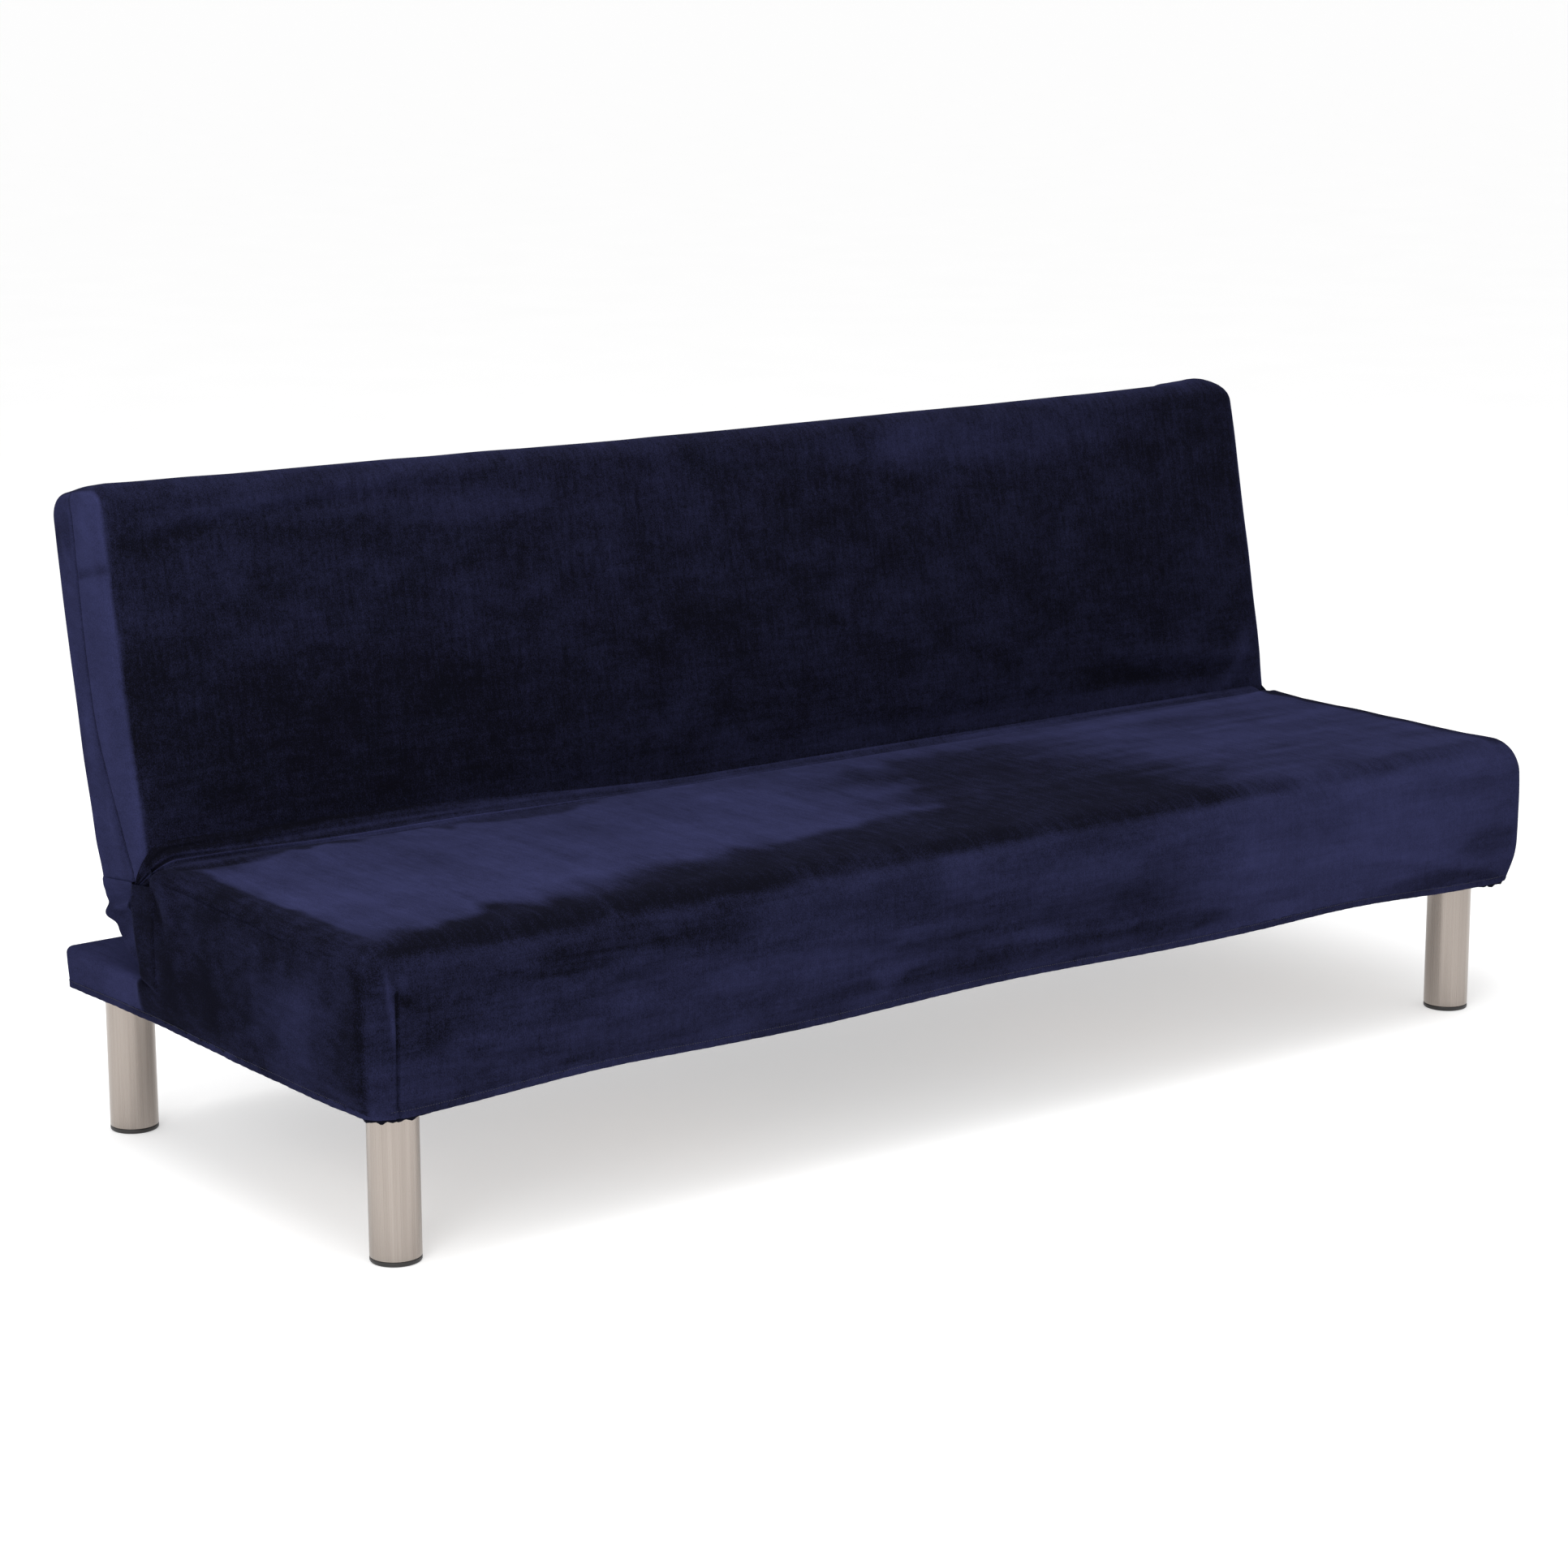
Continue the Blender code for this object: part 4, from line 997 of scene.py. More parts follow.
@dataclass
class BackCover:
    """The slipcover over the backrest, worked out in the back's own frame: y to its rear, z up it."""

    folds: list[Fold]
    tilt: float = 11.5
    radius: float = 0.030
    end_radius: float = 0.025
    rear_end_radius: float = 0.009
    columns: int = 292
    end_steps: int = 8
    face_steps: int = 76
    arc_steps: int = 9
    rungs: int = 57          # close enough together to carry the seam down the end
    face: float = -0.024
    thickness: float = 0.128
    foot: float = 0.004
    height: float = 0.480
    band_at: float = 0.376   # height of the short seam across the left end

    def __post_init__(self) -> None:
        """Finds the hinge axis, the back's ends and the way that the back leans."""
        joint = next(j for j in frame["joints"] if j["name"] == "back_recline")
        self.hinge = np.array(joint["pos_m"])
        self.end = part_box("back_cover")[1].x
        angle = math.radians(self.tilt)
        self.rear_way = np.array([0.0, math.cos(angle), -math.sin(angle)])
        self.up_way = np.array([0.0, math.sin(angle), math.cos(angle)])

    def to_world(self, local: Array) -> Array:
        """Turns places in the back's frame into places in the sofa's."""
        ways = local[:, :1] * [1.0, 0, 0] + local[:, 1:2] * self.rear_way + local[:, 2:3] * self.up_way
        return self.hinge + ways

    def seam_line(self, z: Array) -> Array:
        """The seam's place across the left end at a height: it bows forward towards the foot."""
        bow = 0.34 + 0.30 * smooth(z / 0.22) - 0.05 * smooth((z - 0.25) / 0.2)
        return self.face + self.thickness * bow

    def seam(self, points: Array) -> Array:
        """How near each place is to the seam down the left end: 1 on it, 0 a few millimetres off."""
        return hump(points[:, 1], self.seam_line(points[:, 2]), 0.0021) * (points[:, 0] < 0)

    def profile(self) -> Array:
        """The outline from the front's foot over the top to the rear's foot: y, z and the normal."""
        face, rear, foot, top, r = self.face, self.face + self.thickness, self.foot, self.height, self.radius
        return np.vstack([
            line((face, foot), (face, top - r), self.face_steps, (-1, 0)),
            arc((face + r, top - r), r, 180, 90, self.arc_steps),
            line((face + r, top), (rear - r, top), self.rungs - 1, (0, 1)),
            arc((rear - r, top - r), r, 90, 0, self.arc_steps),
            line((rear, top - r), (rear, foot), self.face_steps, (1, 0)),
            np.array([[rear, foot, 1.0, 0.0]]),
        ])

    def flat_shape(self) -> Shape:
        """Carries the outline along X, rounds it at both ends and fills the end panels with rungs."""
        outline = self.profile()
        rows = self.face_steps + self.arc_steps
        limits = [rows, len(outline) - 1 - rows]
        radius = np.interp(np.arange(len(outline)), limits, [self.end_radius, self.rear_end_radius])
        points, normals = swept(outline, radius, np.linspace(-1, 1, self.columns), self.end, self.end_steps)
        shapes = [Shape.sheet(points, normals)]
        share = np.linspace(0, 1, self.rungs)[:, None]
        for side, rim in ((-1, points[:, 0]), (1, points[:, -1])):
            front, rear = rim[:rows + 1, None], rim[::-1][:rows + 1, None]
            shapes.append(Shape.sheet(front + (rear - front) * share, np.array([side, 0.0, 0.0])))
        return Shape.joined(shapes)

    def settle(self, points: Array, normals: Array) -> Array:
        """Lets the cloth take its shape over the back's padding, in the back's own frame.

        The front is softly crowned, the rear bulges near the top, the right end stands out further than
        the left, the top edge sags between its corners, the right corner keeps a small ear, and both
        seams of the left end are drawn in.

        Args:
            points: Places on the plain cover.
            normals: Its outward normals there.

        Returns:
            The settled places.
        """
        x, y, z = points.T
        _, ahead, behind, out = facing(normals)
        across = x / self.end
        arch = np.sin(np.pi * np.clip(z / self.height, 0, 1))
        rise = ahead * 0.0045 * (1 - across**6) * arch**0.7
        rise += behind * (0.006 * hump(z, 0.40, 0.09) + 0.003) * (1 - 0.5 * across**8)
        wide = 0.0016 + 0.0070 * (x > 0) + 0.0035 * arch
        rise += out * wide * smooth((z - 0.01 + 0.04 * (x > 0)) / 0.05)
        rise += layered(points, (0.0012, (0.24, 0.1, 0.16), 6), (0.0007, (0.07, 0.05, 0.06), 7))
        rise += ahead * 0.0006 * drift(points, (0.035, 0.05, 0.13), 8)
        rise += sum(fold.rise(points) for fold in self.folds)
        rise *= 1 - ahead * smooth((0.075 - z) / 0.05)
        moved = points + normals * rise[:, None]
        sag = 0.007 * (1 - np.abs(across) ** 2.6) * (0.85 + 0.15 * np.cos(7 * x + 0.6))
        sag -= 0.0055 * hump(x, self.end - 0.045, 0.018) * smooth((y + 0.03) / 0.05)
        sag += 0.006 * smooth((x - self.end + 0.035) / 0.035)
        sag += 0.004 * smooth((-x - self.end + 0.06) / 0.06) * smooth((y - 0.03) / 0.05)
        moved[:, 2] -= sag * smooth((z - self.height + 0.09) / 0.09)
        drawn = 0.0030 * self.seam(points) * smooth((0.456 - z) / 0.01)
        drawn += 0.0022 * hump(z, self.band_at, 0.0060) * (x < 0) * smooth((0.05 - y) / 0.006)
        moved[:, 0] += drawn * out
        return moved

    def pile(self, points: Array, normals: Array) -> Array:
        """Painted sheen and shade over the back: dark in front with faint brush marks, paler on top, pale at the
        rear and its ends.
        """
        x, y, z = points.T
        up, _, behind, _ = facing(normals)
        streak = drift(points, (0.022, 0.2, 0.14), 21)
        front = 0.13 + layered(points, (0.05, (0.25, 0.1, 0.14), 22), (0.05, (0.05, 0.1, 0.035), 36))
        front += 0.07 * smooth((z - 0.22) / 0.14) * smooth((0.15 - x) / 0.4) * (0.7 + 0.35 * streak)
        front = Stroke.brushed(points, front, 1, self.face, 0.1, BACK_STROKES)
        past_seam = y - self.seam_line(z)
        end = 0.84 + 0.12 * drift(points, (0.1, 0.02, 0.1), 23) - 0.12 * smooth(past_seam / 0.004) * (x < 0)
        end -= 0.30 * hump(z, 0.43, 0.03) * smooth(past_seam / 0.01)
        # painted shade in the grooves of the seams down and across the left end
        end -= 0.45 * self.seam(points) + 0.35 * hump(z, self.band_at, 0.0055) * (past_seam < 0)
        rear = 0.74 + 0.16 * drift(points, (0.2, 0.1, 0.12), 24) + 0.08 * streak
        top = 0.30 + 0.10 * drift(points, (0.12, 0.05, 0.05), 25)
        # each face shaded by how it meets the light: top, rear and ends painted paler than the front
        shade = front + (top - front) * up
        shade += (rear - shade) * behind
        wobble = 0.05 * drift(points, (0.1, 0.1, 0.05), 34)
        shade += (end - shade) * smooth((np.abs(normals[:, 0]) - 0.70 + wobble) / 0.12)
        # painted highlight on fold ridges, painted shade in their furrows
        return np.clip(shade + FOLD_SHADE * sum(fold.rise(points) for fold in self.folds), 0, 1)

    def build(self, wardrobe: Wardrobe) -> Piece:
        """Builds the cloth, settles it, paints its pile's sheen and shade and sets it on the leaning back."""
        shape = self.flat_shape()
        nap_and_sheen, heights = self.pile(shape.points, shape.normals), shape.points[:, 2]
        shape.points = self.to_world(self.settle(shape.points, shape.normals))
        lay = 0.25 + 0.35 * smooth((0.3 - heights) / 0.2)
        cover = shape.build("back_slipcover", wardrobe[Slot.VELVET], nap_and_sheen, lay)
        return enlist(cover, "back", ("back_cover",))


@dataclass
class HingeCloth:
    """The slipcover's loose cloth round the hinge: the flap behind the back, both end gussets and the
    strip in the crease. It joins the covers of the seat and the back."""

    back: BackCover
    seat: SeatCover
    reach: float = 0.1075        # the flap's distance from the hinge axis
    first: float = 5.0           # degrees from the rear, downwards, at which the flap's arc starts
    last: float = 78.0
    pinch_at: float = 22.5
    roll_at: float = 29.5
    rows: int = 72
    corner: float = 0.016        # radius of the flap's upright corners
    side_gap: float = 0.0045     # how far the plain gusset stands past the seat's end
    disc_radius: float = 0.030
    crease_rows: int = 44
    wrap_radius: float = 0.040
    wrap_tail: float = 0.020

    def round_hinge(self, x: Array, radius: Array | float, angle: Array) -> Array:
        """Places at a radius and an angle round the hinge axis, 0 degrees to the rear and 90 down."""
        turn = np.radians(angle)
        hinge = self.back.hinge
        return np.stack([x, hinge[1] + radius * np.cos(turn), hinge[2] - radius * np.sin(turn)], axis=-1)

    def section(self) -> tuple[Array, Array, Array]:
        """The flap's section: an arc from inside the back's foot down to the ledge, then a run forward
        on the ledge and under the seat.

        Returns:
            Rows of y and z, the angle of each in degrees, and how far each is along the run.
        """
        arc_rows = self.rows * 3 // 4
        run_rows = self.rows - arc_rows
        angle = np.concatenate([np.linspace(self.first, self.last, arc_rows), np.full(run_rows, self.last)])
        lying = np.concatenate([np.zeros(arc_rows), np.linspace(0, 1, run_rows + 1)[1:]])
        places = self.round_hinge(0 * angle, self.reach, angle)[:, 1:]
        landed = np.array([places[-1, 0], self.seat.ledge + 0.0016])
        under = np.array([self.seat.seat_rear - 0.030, self.seat.ledge - 0.020])
        places[arc_rows:] = landed + lying[arc_rows:, None] * (under - landed)
        return places, angle[:, None], lying[:, None]

    def belly(self, angle: Array) -> Array:
        """How far a place is from both ends of the arc: 0 at each, 1 midway."""
        return np.sin(np.pi * np.clip((angle - self.first) / (self.last - self.first), 0, 1))

    def border(self, z: Array) -> Array:
        """How far behind the hinge axis the gusset leaves the seat's end panel, at a height."""
        return -0.006 + 0.016 * smooth((z - 0.245) / 0.09)

    def relief(self, x: Array, along: Array, angle: Array, lying: Array) -> Array:
        """How far the flap stands out along its spokes: hollow, with a roll of cloth under the back's
        foot and a pinch beside it, both deeper at the left, and slow waves and pleats."""
        place = np.stack(np.broadcast_arrays(x, along * 0.1, angle / 500 + lying), axis=-1).reshape(-1, 3)
        left = smooth((-x - 0.80) / 0.10)
        rise = -0.0015 - 0.0055 * smooth((angle - 30) / 12) * self.belly(angle)
        rise = rise + 0.0085 * hump(angle, self.roll_at, 5.5) * (0.35 + 0.65 * left)
        rise = rise - 0.0048 * hump(angle, self.pinch_at, 3.2) * (0.4 + 0.6 * left)
        rise = rise - 0.0030 * hump(angle, 39, 4.5) * left
        waves = layered(place, (0.0030, (0.16, 0.05, 0.018), 41), (0.0022, (0.035, 0.03, 0.06), 42))
        waves = waves.reshape(along.shape) * self.belly(angle) * smooth((angle - 20) / 10)
        return np.minimum(rise + waves, 0.0080)

    def flap(self, wardrobe: Wardrobe) -> Piece:
        """Carries the section from gusset to gusset, through a rounded corner at each end.

        At each end it shrinks along spokes to a place in the seat's rear corner, which makes the
        gusset. The gusset lies level with the seat's end panel, then steps in, with ridges that follow
        the arc, and dives under the seat's rear edge and the back's foot.
        """
        seat, hinge, corner = self.seat, self.back.hinge, self.corner
        side_end = seat.end + self.side_gap
        section, angle, lying = self.section()
        origin = np.array([seat.seat_rear - 0.034, seat.top - 0.016])
        spoke = section - origin
        length = np.linalg.norm(spoke, axis=1)[:, None]
        inner = np.linspace(0.0, 1.0, 30) * (1 - corner / length)
        bend = np.linspace(0, np.pi / 2, 10)[1:]
        bend_share = 1 - corner * (1 - np.sin(bend)) / length
        bend_x = side_end - corner + corner * np.cos(bend)
        half = np.linspace(corner - side_end, side_end - corner, 340)[1:-1]
        full = np.ones((self.rows, len(half)))
        along = np.hstack([inner, bend_share, full, bend_share[:, ::-1], inner[:, ::-1]])
        ones = np.ones(inner.shape[1])
        sideways = np.concatenate([ones, np.cos(bend), 0 * half, np.cos(bend)[::-1], ones]) ** 2
        x = np.concatenate([-side_end * ones, -bend_x, half, bend_x[::-1], side_end * ones])
        rise = self.relief(x, along, angle, lying)
        lift = rise * np.sqrt(1 - sideways) * (lying == 0)
        flat = origin + along[..., None] * spoke[:, None] + (spoke / length)[:, None] * lift[..., None]
        y, z = flat[..., 0], flat[..., 1]
        behind = y - hinge[1]
        step = smooth((behind - self.border(z)) / 0.012)
        below_back = hinge[2] + 0.004 - behind * np.tan(np.radians(self.back.tilt)) - z
        dive = smooth((-0.005 - below_back) / 0.006) * smooth(behind / 0.03)
        dive = np.clip(dive + smooth((-0.040 - behind) / 0.010), 0, 1)
        ridges = 0.0016 * np.cos(np.radians(angle * 9) + 2.4 * along) * self.belly(angle) * smooth(along * 2)
        stepped = 0.0085 - 0.0040 * smooth((0.012 - below_back) / 0.01)
        stepped = stepped - ridges - 0.8 * np.maximum(rise, -0.004)
        level = side_end - seat.end_face(z) - 0.0012
        inset = stepped * step + level * (1 - step) + 0.0050 * dive
        lowest = seat.ledge + 0.0012 - 0.016 * sideways * (1 - step)
        points = np.stack([x - np.sign(x) * inset * sideways, y, np.maximum(z, lowest)], axis=-1)
        shape = Shape.joined([Shape.sheet(points, points - hinge * [0, 1, 1])])
        at = shape.points
        # painted sheen: paler above 314 mm, and painted dark on the gusset beside the seat to match the seat end's
        # painted shade
        nap_and_sheen = 0.50 + 0.18 * drift(at, (0.05, 0.05, 0.03), 43) + 0.25 * smooth((at[:, 2] - 0.314) / 0.005)
        on_side = smooth((np.abs(at[:, 0]) - seat.end + 0.012) / 0.006)
        near_seat = smooth((self.border(at[:, 2]) + 0.006 + hinge[1] - at[:, 1]) / 0.006)
        nap_and_sheen += (0.07 - nap_and_sheen) * on_side * near_seat
        piece = shape.build("hinge_flap", wardrobe[Slot.VELVET], np.clip(nap_and_sheen, 0, 1), 0.4)
        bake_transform(piece)
        return enlist(piece)

    def discs(self, wardrobe: Wardrobe) -> Piece:
        """Two small rounds of cloth that close the crease at its ends, turned on the hinge axis."""
        radius, angle = np.linspace(0, self.disc_radius, 8)[:, None], np.linspace(0, 360, 41)
        wave = 0.0006 * np.cos(np.radians(angle * 6)) * radius / self.disc_radius
        shapes = []
        for side in (-1, 1):
            points = self.round_hinge(side * (self.back.end - 0.0022 - wave), radius, angle)
            shapes.append(Shape.sheet(points, np.array([side, 0.0, 0.0])))
        shape = Shape.joined(shapes)
        # painted sheen: the cloth is kept dark
        piece = shape.build("crease_ends", wardrobe[Slot.VELVET], np.full(len(shape.points), 0.1))
        return enlist(piece, "base")

    def crease(self, wardrobe: Wardrobe) -> Piece:
        """The cloth drawn through the crease: a hollow fillet from the seat to the foot of the back.

        At share t the profile is the quadratic curve through the seat's edge, the crease and the back's
        face, which it climbs higher at the left. At each end it rolls over the corner in a quarter turn
        and runs down and back to the back's lower corner, narrowing as it goes; long fine ridges run
        along it and crowd together at the left end.
        """
        seat, back = self.seat, self.back
        turn, tail = self.wrap_radius, self.wrap_tail
        half = seat.end + 0.0022 - turn
        quarter = turn * np.pi / 2
        over = np.linspace(0, quarter + tail, 26)[1:]
        run = np.concatenate([-half - over[::-1], np.linspace(-half, half, 400), half + over])
        past, side = np.clip(np.abs(run) - half, 0, None), np.sign(run)
        share = np.linspace(0, 1, self.crease_rows)[:, None]
        start = np.array([seat.seat_rear - 0.030, seat.top + 0.0016])
        dip = np.array([seat.seat_rear + 0.001, seat.top - 0.004])
        climb = 0.027 + 0.025 * smooth((-run - 0.1) / 0.6)
        foot = back.to_world(np.column_stack([0 * run, 0 * run + back.face - 0.0016, climb]))[:, 1:]
        part = share[..., None]
        curve = (1 - part) ** 2 * start + 2 * part * (1 - part) * dip + part**2 * foot
        slope = 2 * (1 - part) * (dip - start) + 2 * part * (foot - dip)
        slope /= np.linalg.norm(slope, axis=2, keepdims=True)
        place = np.stack(np.broadcast_arrays(run, share * 0.07, 0 * share), axis=-1).reshape(-1, 3)
        ripple = drift(place, (0.30, 0.0075, 1.0), 51).reshape(len(share), -1)
        fine = drift(place, (0.12, 0.0045, 1.0), 52).reshape(len(share), -1)
        left = smooth((-run - 0.60) / 0.28)
        body = np.sin(np.pi * share) ** 0.7
        at = 0.44 + 0.06 * np.sin(run * 5.3) + 0.04 * np.sin(run * 13.1 + 1)
        cord = hump(share, at, 0.035) * smooth((0.1 - run) / 0.5) + 0.5 * hump(share, at + 0.14, 0.03) * left
        rise = 0.0020 * ripple * (0.5 + 1.1 * left) + 0.0010 * fine * (1 + left) + 0.0022 * cord
        rise = body * rise - 0.0022 * (1 - body)
        y = curve[..., 0] - slope[..., 1] * rise
        z = curve[..., 1] + slope[..., 0] * rise
        rolled = smooth(past / quarter)
        narrow = 1 - 0.58 * smooth(past / (quarter + tail))
        middle = seat.seat_rear - 0.004
        y = middle + (y - middle) * narrow + 0.054 * smooth(past / (quarter + tail * 1.2)) ** 1.3
        centre = seat.top - turn
        height = (z - centre) * (1 - rolled) + (turn + 0.0015 + 1.3 * rise) * rolled
        height = height - 0.006 * smooth((past - quarter - tail + 0.008) / 0.008)
        angle = np.clip(past / turn, 0, np.pi / 2)
        x = np.where(past > 0, side * (half + height * np.sin(angle)), run)
        z = np.where(past > 0, centre + height * np.cos(angle) - np.clip(past - quarter, 0, None), z)
        outward = np.stack([side * np.sin(angle), 0 * angle - 0.2, np.cos(angle)], axis=-1)
        shape = Shape.sheet(np.stack([x, y, z], axis=-1), outward)
        at = shape.points
        # painted shade: darker higher in the crease and towards the left end; painted highlights on the ripples
        # and the cord
        nap_and_sheen = 0.38 - 0.28 * smooth((at[:, 2] - seat.top) / 0.03) + 0.2 * drift(at, (0.25, 0.006, 0.006), 53)
        nap_and_sheen -= 0.32 * smooth((-at[:, 0] - 0.62) / 0.2)
        nap_and_sheen += (0.22 * ripple * left * body + 0.45 * cord * body).reshape(-1)
        piece = shape.build("crease_cloth", wardrobe[Slot.VELVET], np.clip(nap_and_sheen, 0, 1), 1.0)
        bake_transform(piece)
        return enlist(piece)


@dataclass
class FoamPads:
    """The two foam blocks: cut from grey foam, softened at every edge and a little slack in the cover."""

    back: BackCover
    step: float = 0.014
    seat_edge: float = 0.042
    back_edge: float = 0.026

    def block(self, low: Array, high: Array, radius: float) -> Shape:
        """A box with round edges: each point of a gridded box is drawn in to within the radius of the
        box's core, along the line to the core's nearest place.

        Args:
            low: Lowest corner.
            high: Highest corner.
            radius: Radius of the edges.

        Returns:
            The closed shape.
        """
        shapes = []
        for axis in range(3):
            sides = [a for a in range(3) if a != axis]
            counts = [max(4, round((high[a] - low[a]) / self.step)) for a in sides]
            runs = [np.linspace(low[a], high[a], n) for a, n in zip(sides, counts)]
            for level, sign in ((low[axis], -1.0), (high[axis], 1.0)):
                first, second = np.meshgrid(*runs, indexing="ij")
                grid = np.empty((*first.shape, 3))
                grid[..., sides[0]], grid[..., sides[1]], grid[..., axis] = first, second, level
                core = np.clip(grid, low + radius, high - radius)
                away = grid - core
                away /= np.linalg.norm(away, axis=-1, keepdims=True)
                shapes.append(Shape.sheet(core + radius * away, sign * np.eye(3)[axis]))
        return Shape.joined(shapes)

    def build(self, wardrobe: Wardrobe) -> None:
        """Builds both blocks a few millimetres inside their CAD solids' limits."""
        low, high = (np.array(v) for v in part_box("seat_foam"))
        seat = self.block(low + [0.004, 0.004, 0.0], high - [0.004, 0.004, 0.007], self.seat_edge)
        slack = 1 + drift(seat.points, (0.2, 0.2, 0.2), 61)
        seat.points[:, 2] -= 0.0016 * smooth((seat.points[:, 2] - low[2]) / 0.05) * slack
        end = high[0] - 0.003
        back = self.block(np.array([-end, -0.016, 0.008]), np.array([end, 0.0684, 0.462]), self.back_edge)
        back.points = self.back.to_world(back.points)
        for shape, name, body in ((seat, "seat_foam", "base"), (back, "back_foam", "back")):
            piece = shape.build(f"{name}_block", wardrobe[Slot.FOAM])
            enlist(piece, body, (name,))


# ---------------------------------------------------------------- hard parts
@dataclass
class Leg:
    """One leg: a brushed tube closed at its top, on a moulded foot. Both are turned on the leg's axis."""

    corner: str
    wall: float = 0.0015
    round_over: float = 0.0006
    cap: float = 0.003           # thickness of the plate that closes the tube
    sides: int = 96

    def __post_init__(self) -> None:
        """Takes the leg's place and size from its CAD solids."""
        self.low, self.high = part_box(f"leg_tube_{self.corner}")
        self.foot_low, self.foot_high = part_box(f"leg_foot_{self.corner}")

    def turned(self, name: str, outline: list[Pair], material: Material) -> Piece:
        """Turns an outline of (radius, z), from its lowest centre to its highest, round the leg's axis."""
        radius, z = np.array(outline).T[..., None]
        angle = np.linspace(0, 2 * np.pi, self.sides, endpoint=False)
        x, y, _ = (self.low + self.high) / 2
        ring = np.broadcast_arrays(x + radius * np.cos(angle), y + radius * np.sin(angle), z)
        points = np.stack(ring, axis=-1)
        shape = Shape.joined([Shape.sheet(points, points - np.array([x, y, z.mean()]), wrap=True)])
        return shape.build(name, material)

    def build(self, wardrobe: Wardrobe) -> None:
        """Builds the tube and the foot."""
        r, soft = (self.high.x - self.low.x) / 2, self.round_over
        low, high, inner = self.low.z, self.high.z, r - self.wall
        quarter = [(soft * (1 - math.sin(a)), soft * (1 - math.cos(a))) for a in np.radians([0, 30, 60, 90])]
        under = high - self.cap
        tube = [(0, under), (inner - 0.0005, under), (inner, under - 0.0005), (inner, low + 0.0003)]
        tube += [(r - a, low + b) for a, b in quarter]
        tube += [(r, low + (high - low) * s) for s in np.linspace(0.04, 0.96, 12)]
        tube += [(r - b, high - a) for a, b in quarter] + [(r * s, high) for s in (0.8, 0.5, 0.2, 0)]
        f, top, step = (self.foot_high.x - self.foot_low.x) / 2, self.foot_high.z, low - 0.0003
        plug = inner - 0.0004
        foot = [(0, 0), (f * 0.6, 0), (f - 0.0022, 0), (f - 0.0009, 0.0005), (f, 0.0019), (f, step - 0.0009)]
        foot += [(f - 0.0003, step - 0.0003), (f - 0.0009, step), (plug, step), (plug, top - 0.001)]
        foot += [(plug - 0.001, top), (0, top)]
        for name, outline, slot in (("leg_tube", tube, Slot.STAINLESS), ("leg_foot", foot, Slot.PLASTIC)):
            piece = self.turned(f"{name}_{self.corner}_turned", outline, wardrobe[slot])
            enlist(piece, "base", (f"{name}_{self.corner}",))


def dress(wardrobe: Wardrobe) -> None:
    """Gives each CAD node the finish of its slot."""
    for part in frame["record"]["subparts"]:
        mesh = frame["nodes"][part["node"]].data
        material = wardrobe[Slot(part["material_slot"])]
        if mesh.materials:
            for i in range(len(mesh.materials)):
                mesh.materials[i] = material
        else:
            mesh.materials.append(material)


# ---------------------------------------------------------------- studio
@dataclass
class Studio:
    """A pale floor, soft light from above and the left, and the camera."""

    place: Point = (-2.9486, -3.7542, 1.4253)
    yaw: float = 37.40
    pitch: float = 12.33
    roll: float = -0.14
    lens: float = 86.1
    floor_glow: float = 0.42
    surroundings: float = 0.76
    sensor: float = 36.0

    def camera(self) -> None:
        """Sets the camera: yaw is clockwise from +Y, pitch is down, and roll turns about the view."""
        yaw, pitch, roll = (math.radians(a) for a in (self.yaw, self.pitch, self.roll))
        ahead = Vector((math.sin(yaw) * math.cos(pitch), math.cos(yaw) * math.cos(pitch), -math.sin(pitch)))
        right = Vector((math.cos(yaw), -math.sin(yaw), 0.0))
        up = right.cross(ahead)
        turned_right = math.cos(roll) * right + math.sin(roll) * up
        turned_up = math.cos(roll) * up - math.sin(roll) * right
        data = bpy.data.cameras.new("camera")
        data.lens, data.sensor_width, data.clip_end = self.lens, self.sensor, 900.0
        camera = bpy.data.objects.new("camera", data)
        bpy.context.scene.collection.objects.link(camera)
        matrix = Matrix((turned_right, turned_up, -ahead)).transposed().to_4x4()
        matrix.translation = Vector(self.place)
        camera.matrix_world = matrix
        bpy.context.scene.camera = camera

    def soft_box(self, name: str, place: Point, aim: Point, size: float, watts: float, colour: str) -> None:
        """Hangs one large square light."""
        data = bpy.data.lights.new(name, "AREA")
        data.shape, data.size, data.energy, data.color = "SQUARE", size, watts, linear(colour)[:3]
        lamp = bpy.data.objects.new(name, data)
        bpy.context.scene.collection.objects.link(lamp)
        lamp.location = place
        lamp.rotation_euler = (Vector(aim) - Vector(place)).to_track_quat("-Z", "Y").to_euler()

    def floor(self) -> None:
        """Lays the floor: a wide pale lit table top, level with the feet, that reaches past the view."""
        across = np.linspace(-1, 1, 25) ** 3 * 400
        grid = np.stack([*np.meshgrid(across, across), np.zeros((25, 25))], axis=-1)
        table = Grained(
            "backdrop_acrylic", 0.9, 0.0, "#DADADA", "#DEDEDE", size=2.0, blotch=400, depth=0.01,
            glow=self.floor_glow,
        )
        Shape.sheet(grid, np.array([0.0, 0.0, 1.0])).build("studio_floor", table.material())

    def build(self) -> None:
        """Sets up the floor, the lights, the white surroundings and the camera."""
        self.floor()
        self.soft_box("overhead", (-0.6, -0.4, 3.4), (0, 0, 0.2), 3.0, 105, "#FFFFFF")
        self.soft_box("left_front", (-3.6, -2.6, 2.3), (0, 0, 0.3), 1.8, 62, "#FFFFFF")
        world = bpy.data.worlds.new("white_room")
        bpy.context.scene.world = world
        world.use_nodes = True
        ground = world.node_tree.nodes["Background"]
        ground.inputs["Color"].default_value = linear("#FFFFFF")
        ground.inputs["Strength"].default_value = self.surroundings
        bpy.context.scene.view_settings.view_transform = "Standard"
        self.camera()


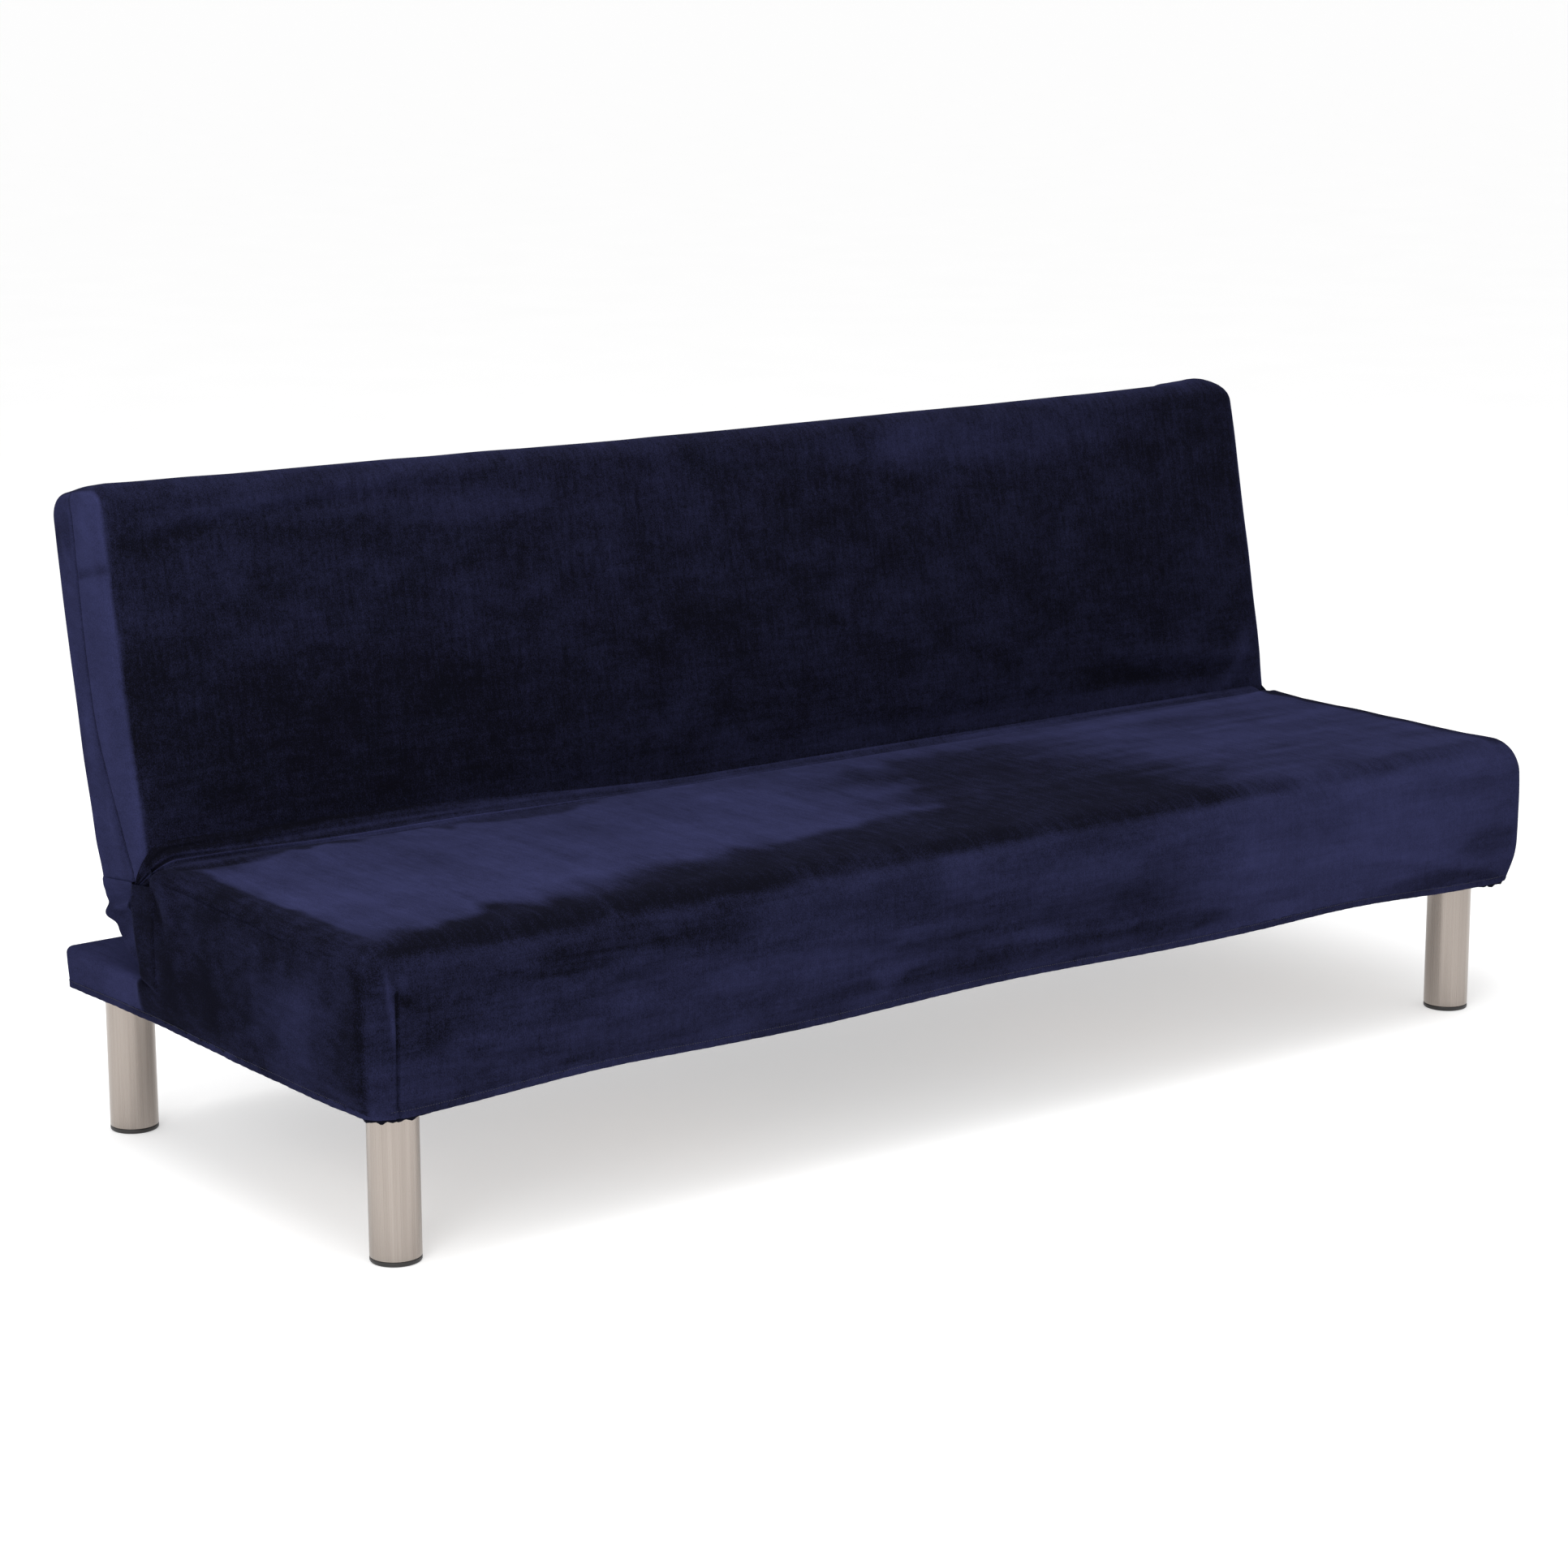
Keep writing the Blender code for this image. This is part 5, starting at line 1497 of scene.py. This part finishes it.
# ---------------------------------------------------------------- the sofa
def back_folds() -> list[Fold]:
    """The creases in the back's cloth, in the back's own frame."""
    front = Fold.on(
        1, BackCover.face,
        (-0.86, 0.425, -0.60, 0.452, -0.36, 0.458, 0.010, 0.0022),
        (-0.90, 0.395, -0.72, 0.424, -0.45, 0.436, 0.009, -0.0020),
        (0.55, 0.075, 0.74, 0.055, 0.90, 0.030, 0.012, -0.0017),
        (0.60, 0.105, 0.78, 0.088, 0.91, 0.070, 0.012, 0.0022),
        (0.80, 0.018, 0.86, 0.050, 0.90, 0.110, 0.010, 0.0030),
    )
    left_end = Fold.on(
        0, -0.9225,
        (-0.006, 0.40, 0.018, 0.424, 0.040, 0.446, 0.008, 0.0022),
        (0.062, 0.385, 0.073, 0.405, 0.080, 0.432, 0.007, 0.0026),
        (0.020, 0.03, 0.040, 0.060, 0.052, 0.100, 0.007, 0.0022),
    )
    return front + left_end


def seat_folds() -> list[Fold]:
    """The creases in the seat's cloth."""
    low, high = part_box("seat_cover")
    front = Fold.on(
        1, low.y,
        (-0.893, 0.332, -0.884, 0.340, -0.872, 0.338, 0.0055, 0.0042),
        (-0.889, 0.322, -0.878, 0.318, -0.870, 0.306, 0.0050, -0.0026),
        (0.60, 0.262, 0.78, 0.232, 0.91, 0.196, 0.010, 0.0026),
        (0.66, 0.232, 0.80, 0.212, 0.90, 0.192, 0.007, -0.0020),
        (-0.72, 0.214, -0.50, 0.226, -0.22, 0.222, 0.008, 0.0016),
        (-0.20, 0.206, -0.205, 0.222, -0.20, 0.240, 0.006, 0.0014),
    )
    left_end = Fold.on(
        0, low.x,
        (0.125, 0.372, 0.085, 0.350, 0.060, 0.318, 0.009, 0.0030),
        (0.122, 0.352, 0.100, 0.330, 0.088, 0.300, 0.007, -0.0026),
    )
    right_end = Fold.on(0, high.x, (0.125, 0.372, 0.085, 0.345, 0.060, 0.310, 0.009, 0.0028))
    top = Fold.on(
        2, high.z,
        (-0.91, 0.120, -0.86, 0.098, -0.78, 0.085, 0.009, 0.0034),
        (-0.91, 0.100, -0.85, 0.080, -0.80, 0.062, 0.008, -0.0022),
        (0.905, 0.120, 0.86, 0.100, 0.79, 0.088, 0.009, 0.0028),
    )
    return front + left_end + right_end + top


def main() -> None:
    """Builds the sofa's finishes and pieces in order, then the studio."""
    logging.basicConfig(level=logging.INFO, format="%(name)s: %(message)s")
    wardrobe = Wardrobe()
    dress(wardrobe)
    seat, back = SeatCover(seat_folds()), BackCover(back_folds())
    hinge = HingeCloth(back, seat)
    pieces = {
        "seat": seat.build(wardrobe), "back": back.build(wardrobe), "flap": hinge.flap(wardrobe),
        "discs": hinge.discs(wardrobe), "crease": hinge.crease(wardrobe),
    }
    FoamPads(back).build(wardrobe)
    pieces |= zip(("band", "stitches", "elastic"), Hem(*seat.hem_line()).build(wardrobe))
    for corner in ("front_left", "front_right", "rear_left", "rear_right"):
        Leg(corner).build(wardrobe)
    Studio().build()


if __name__ == "__main__":
    main()
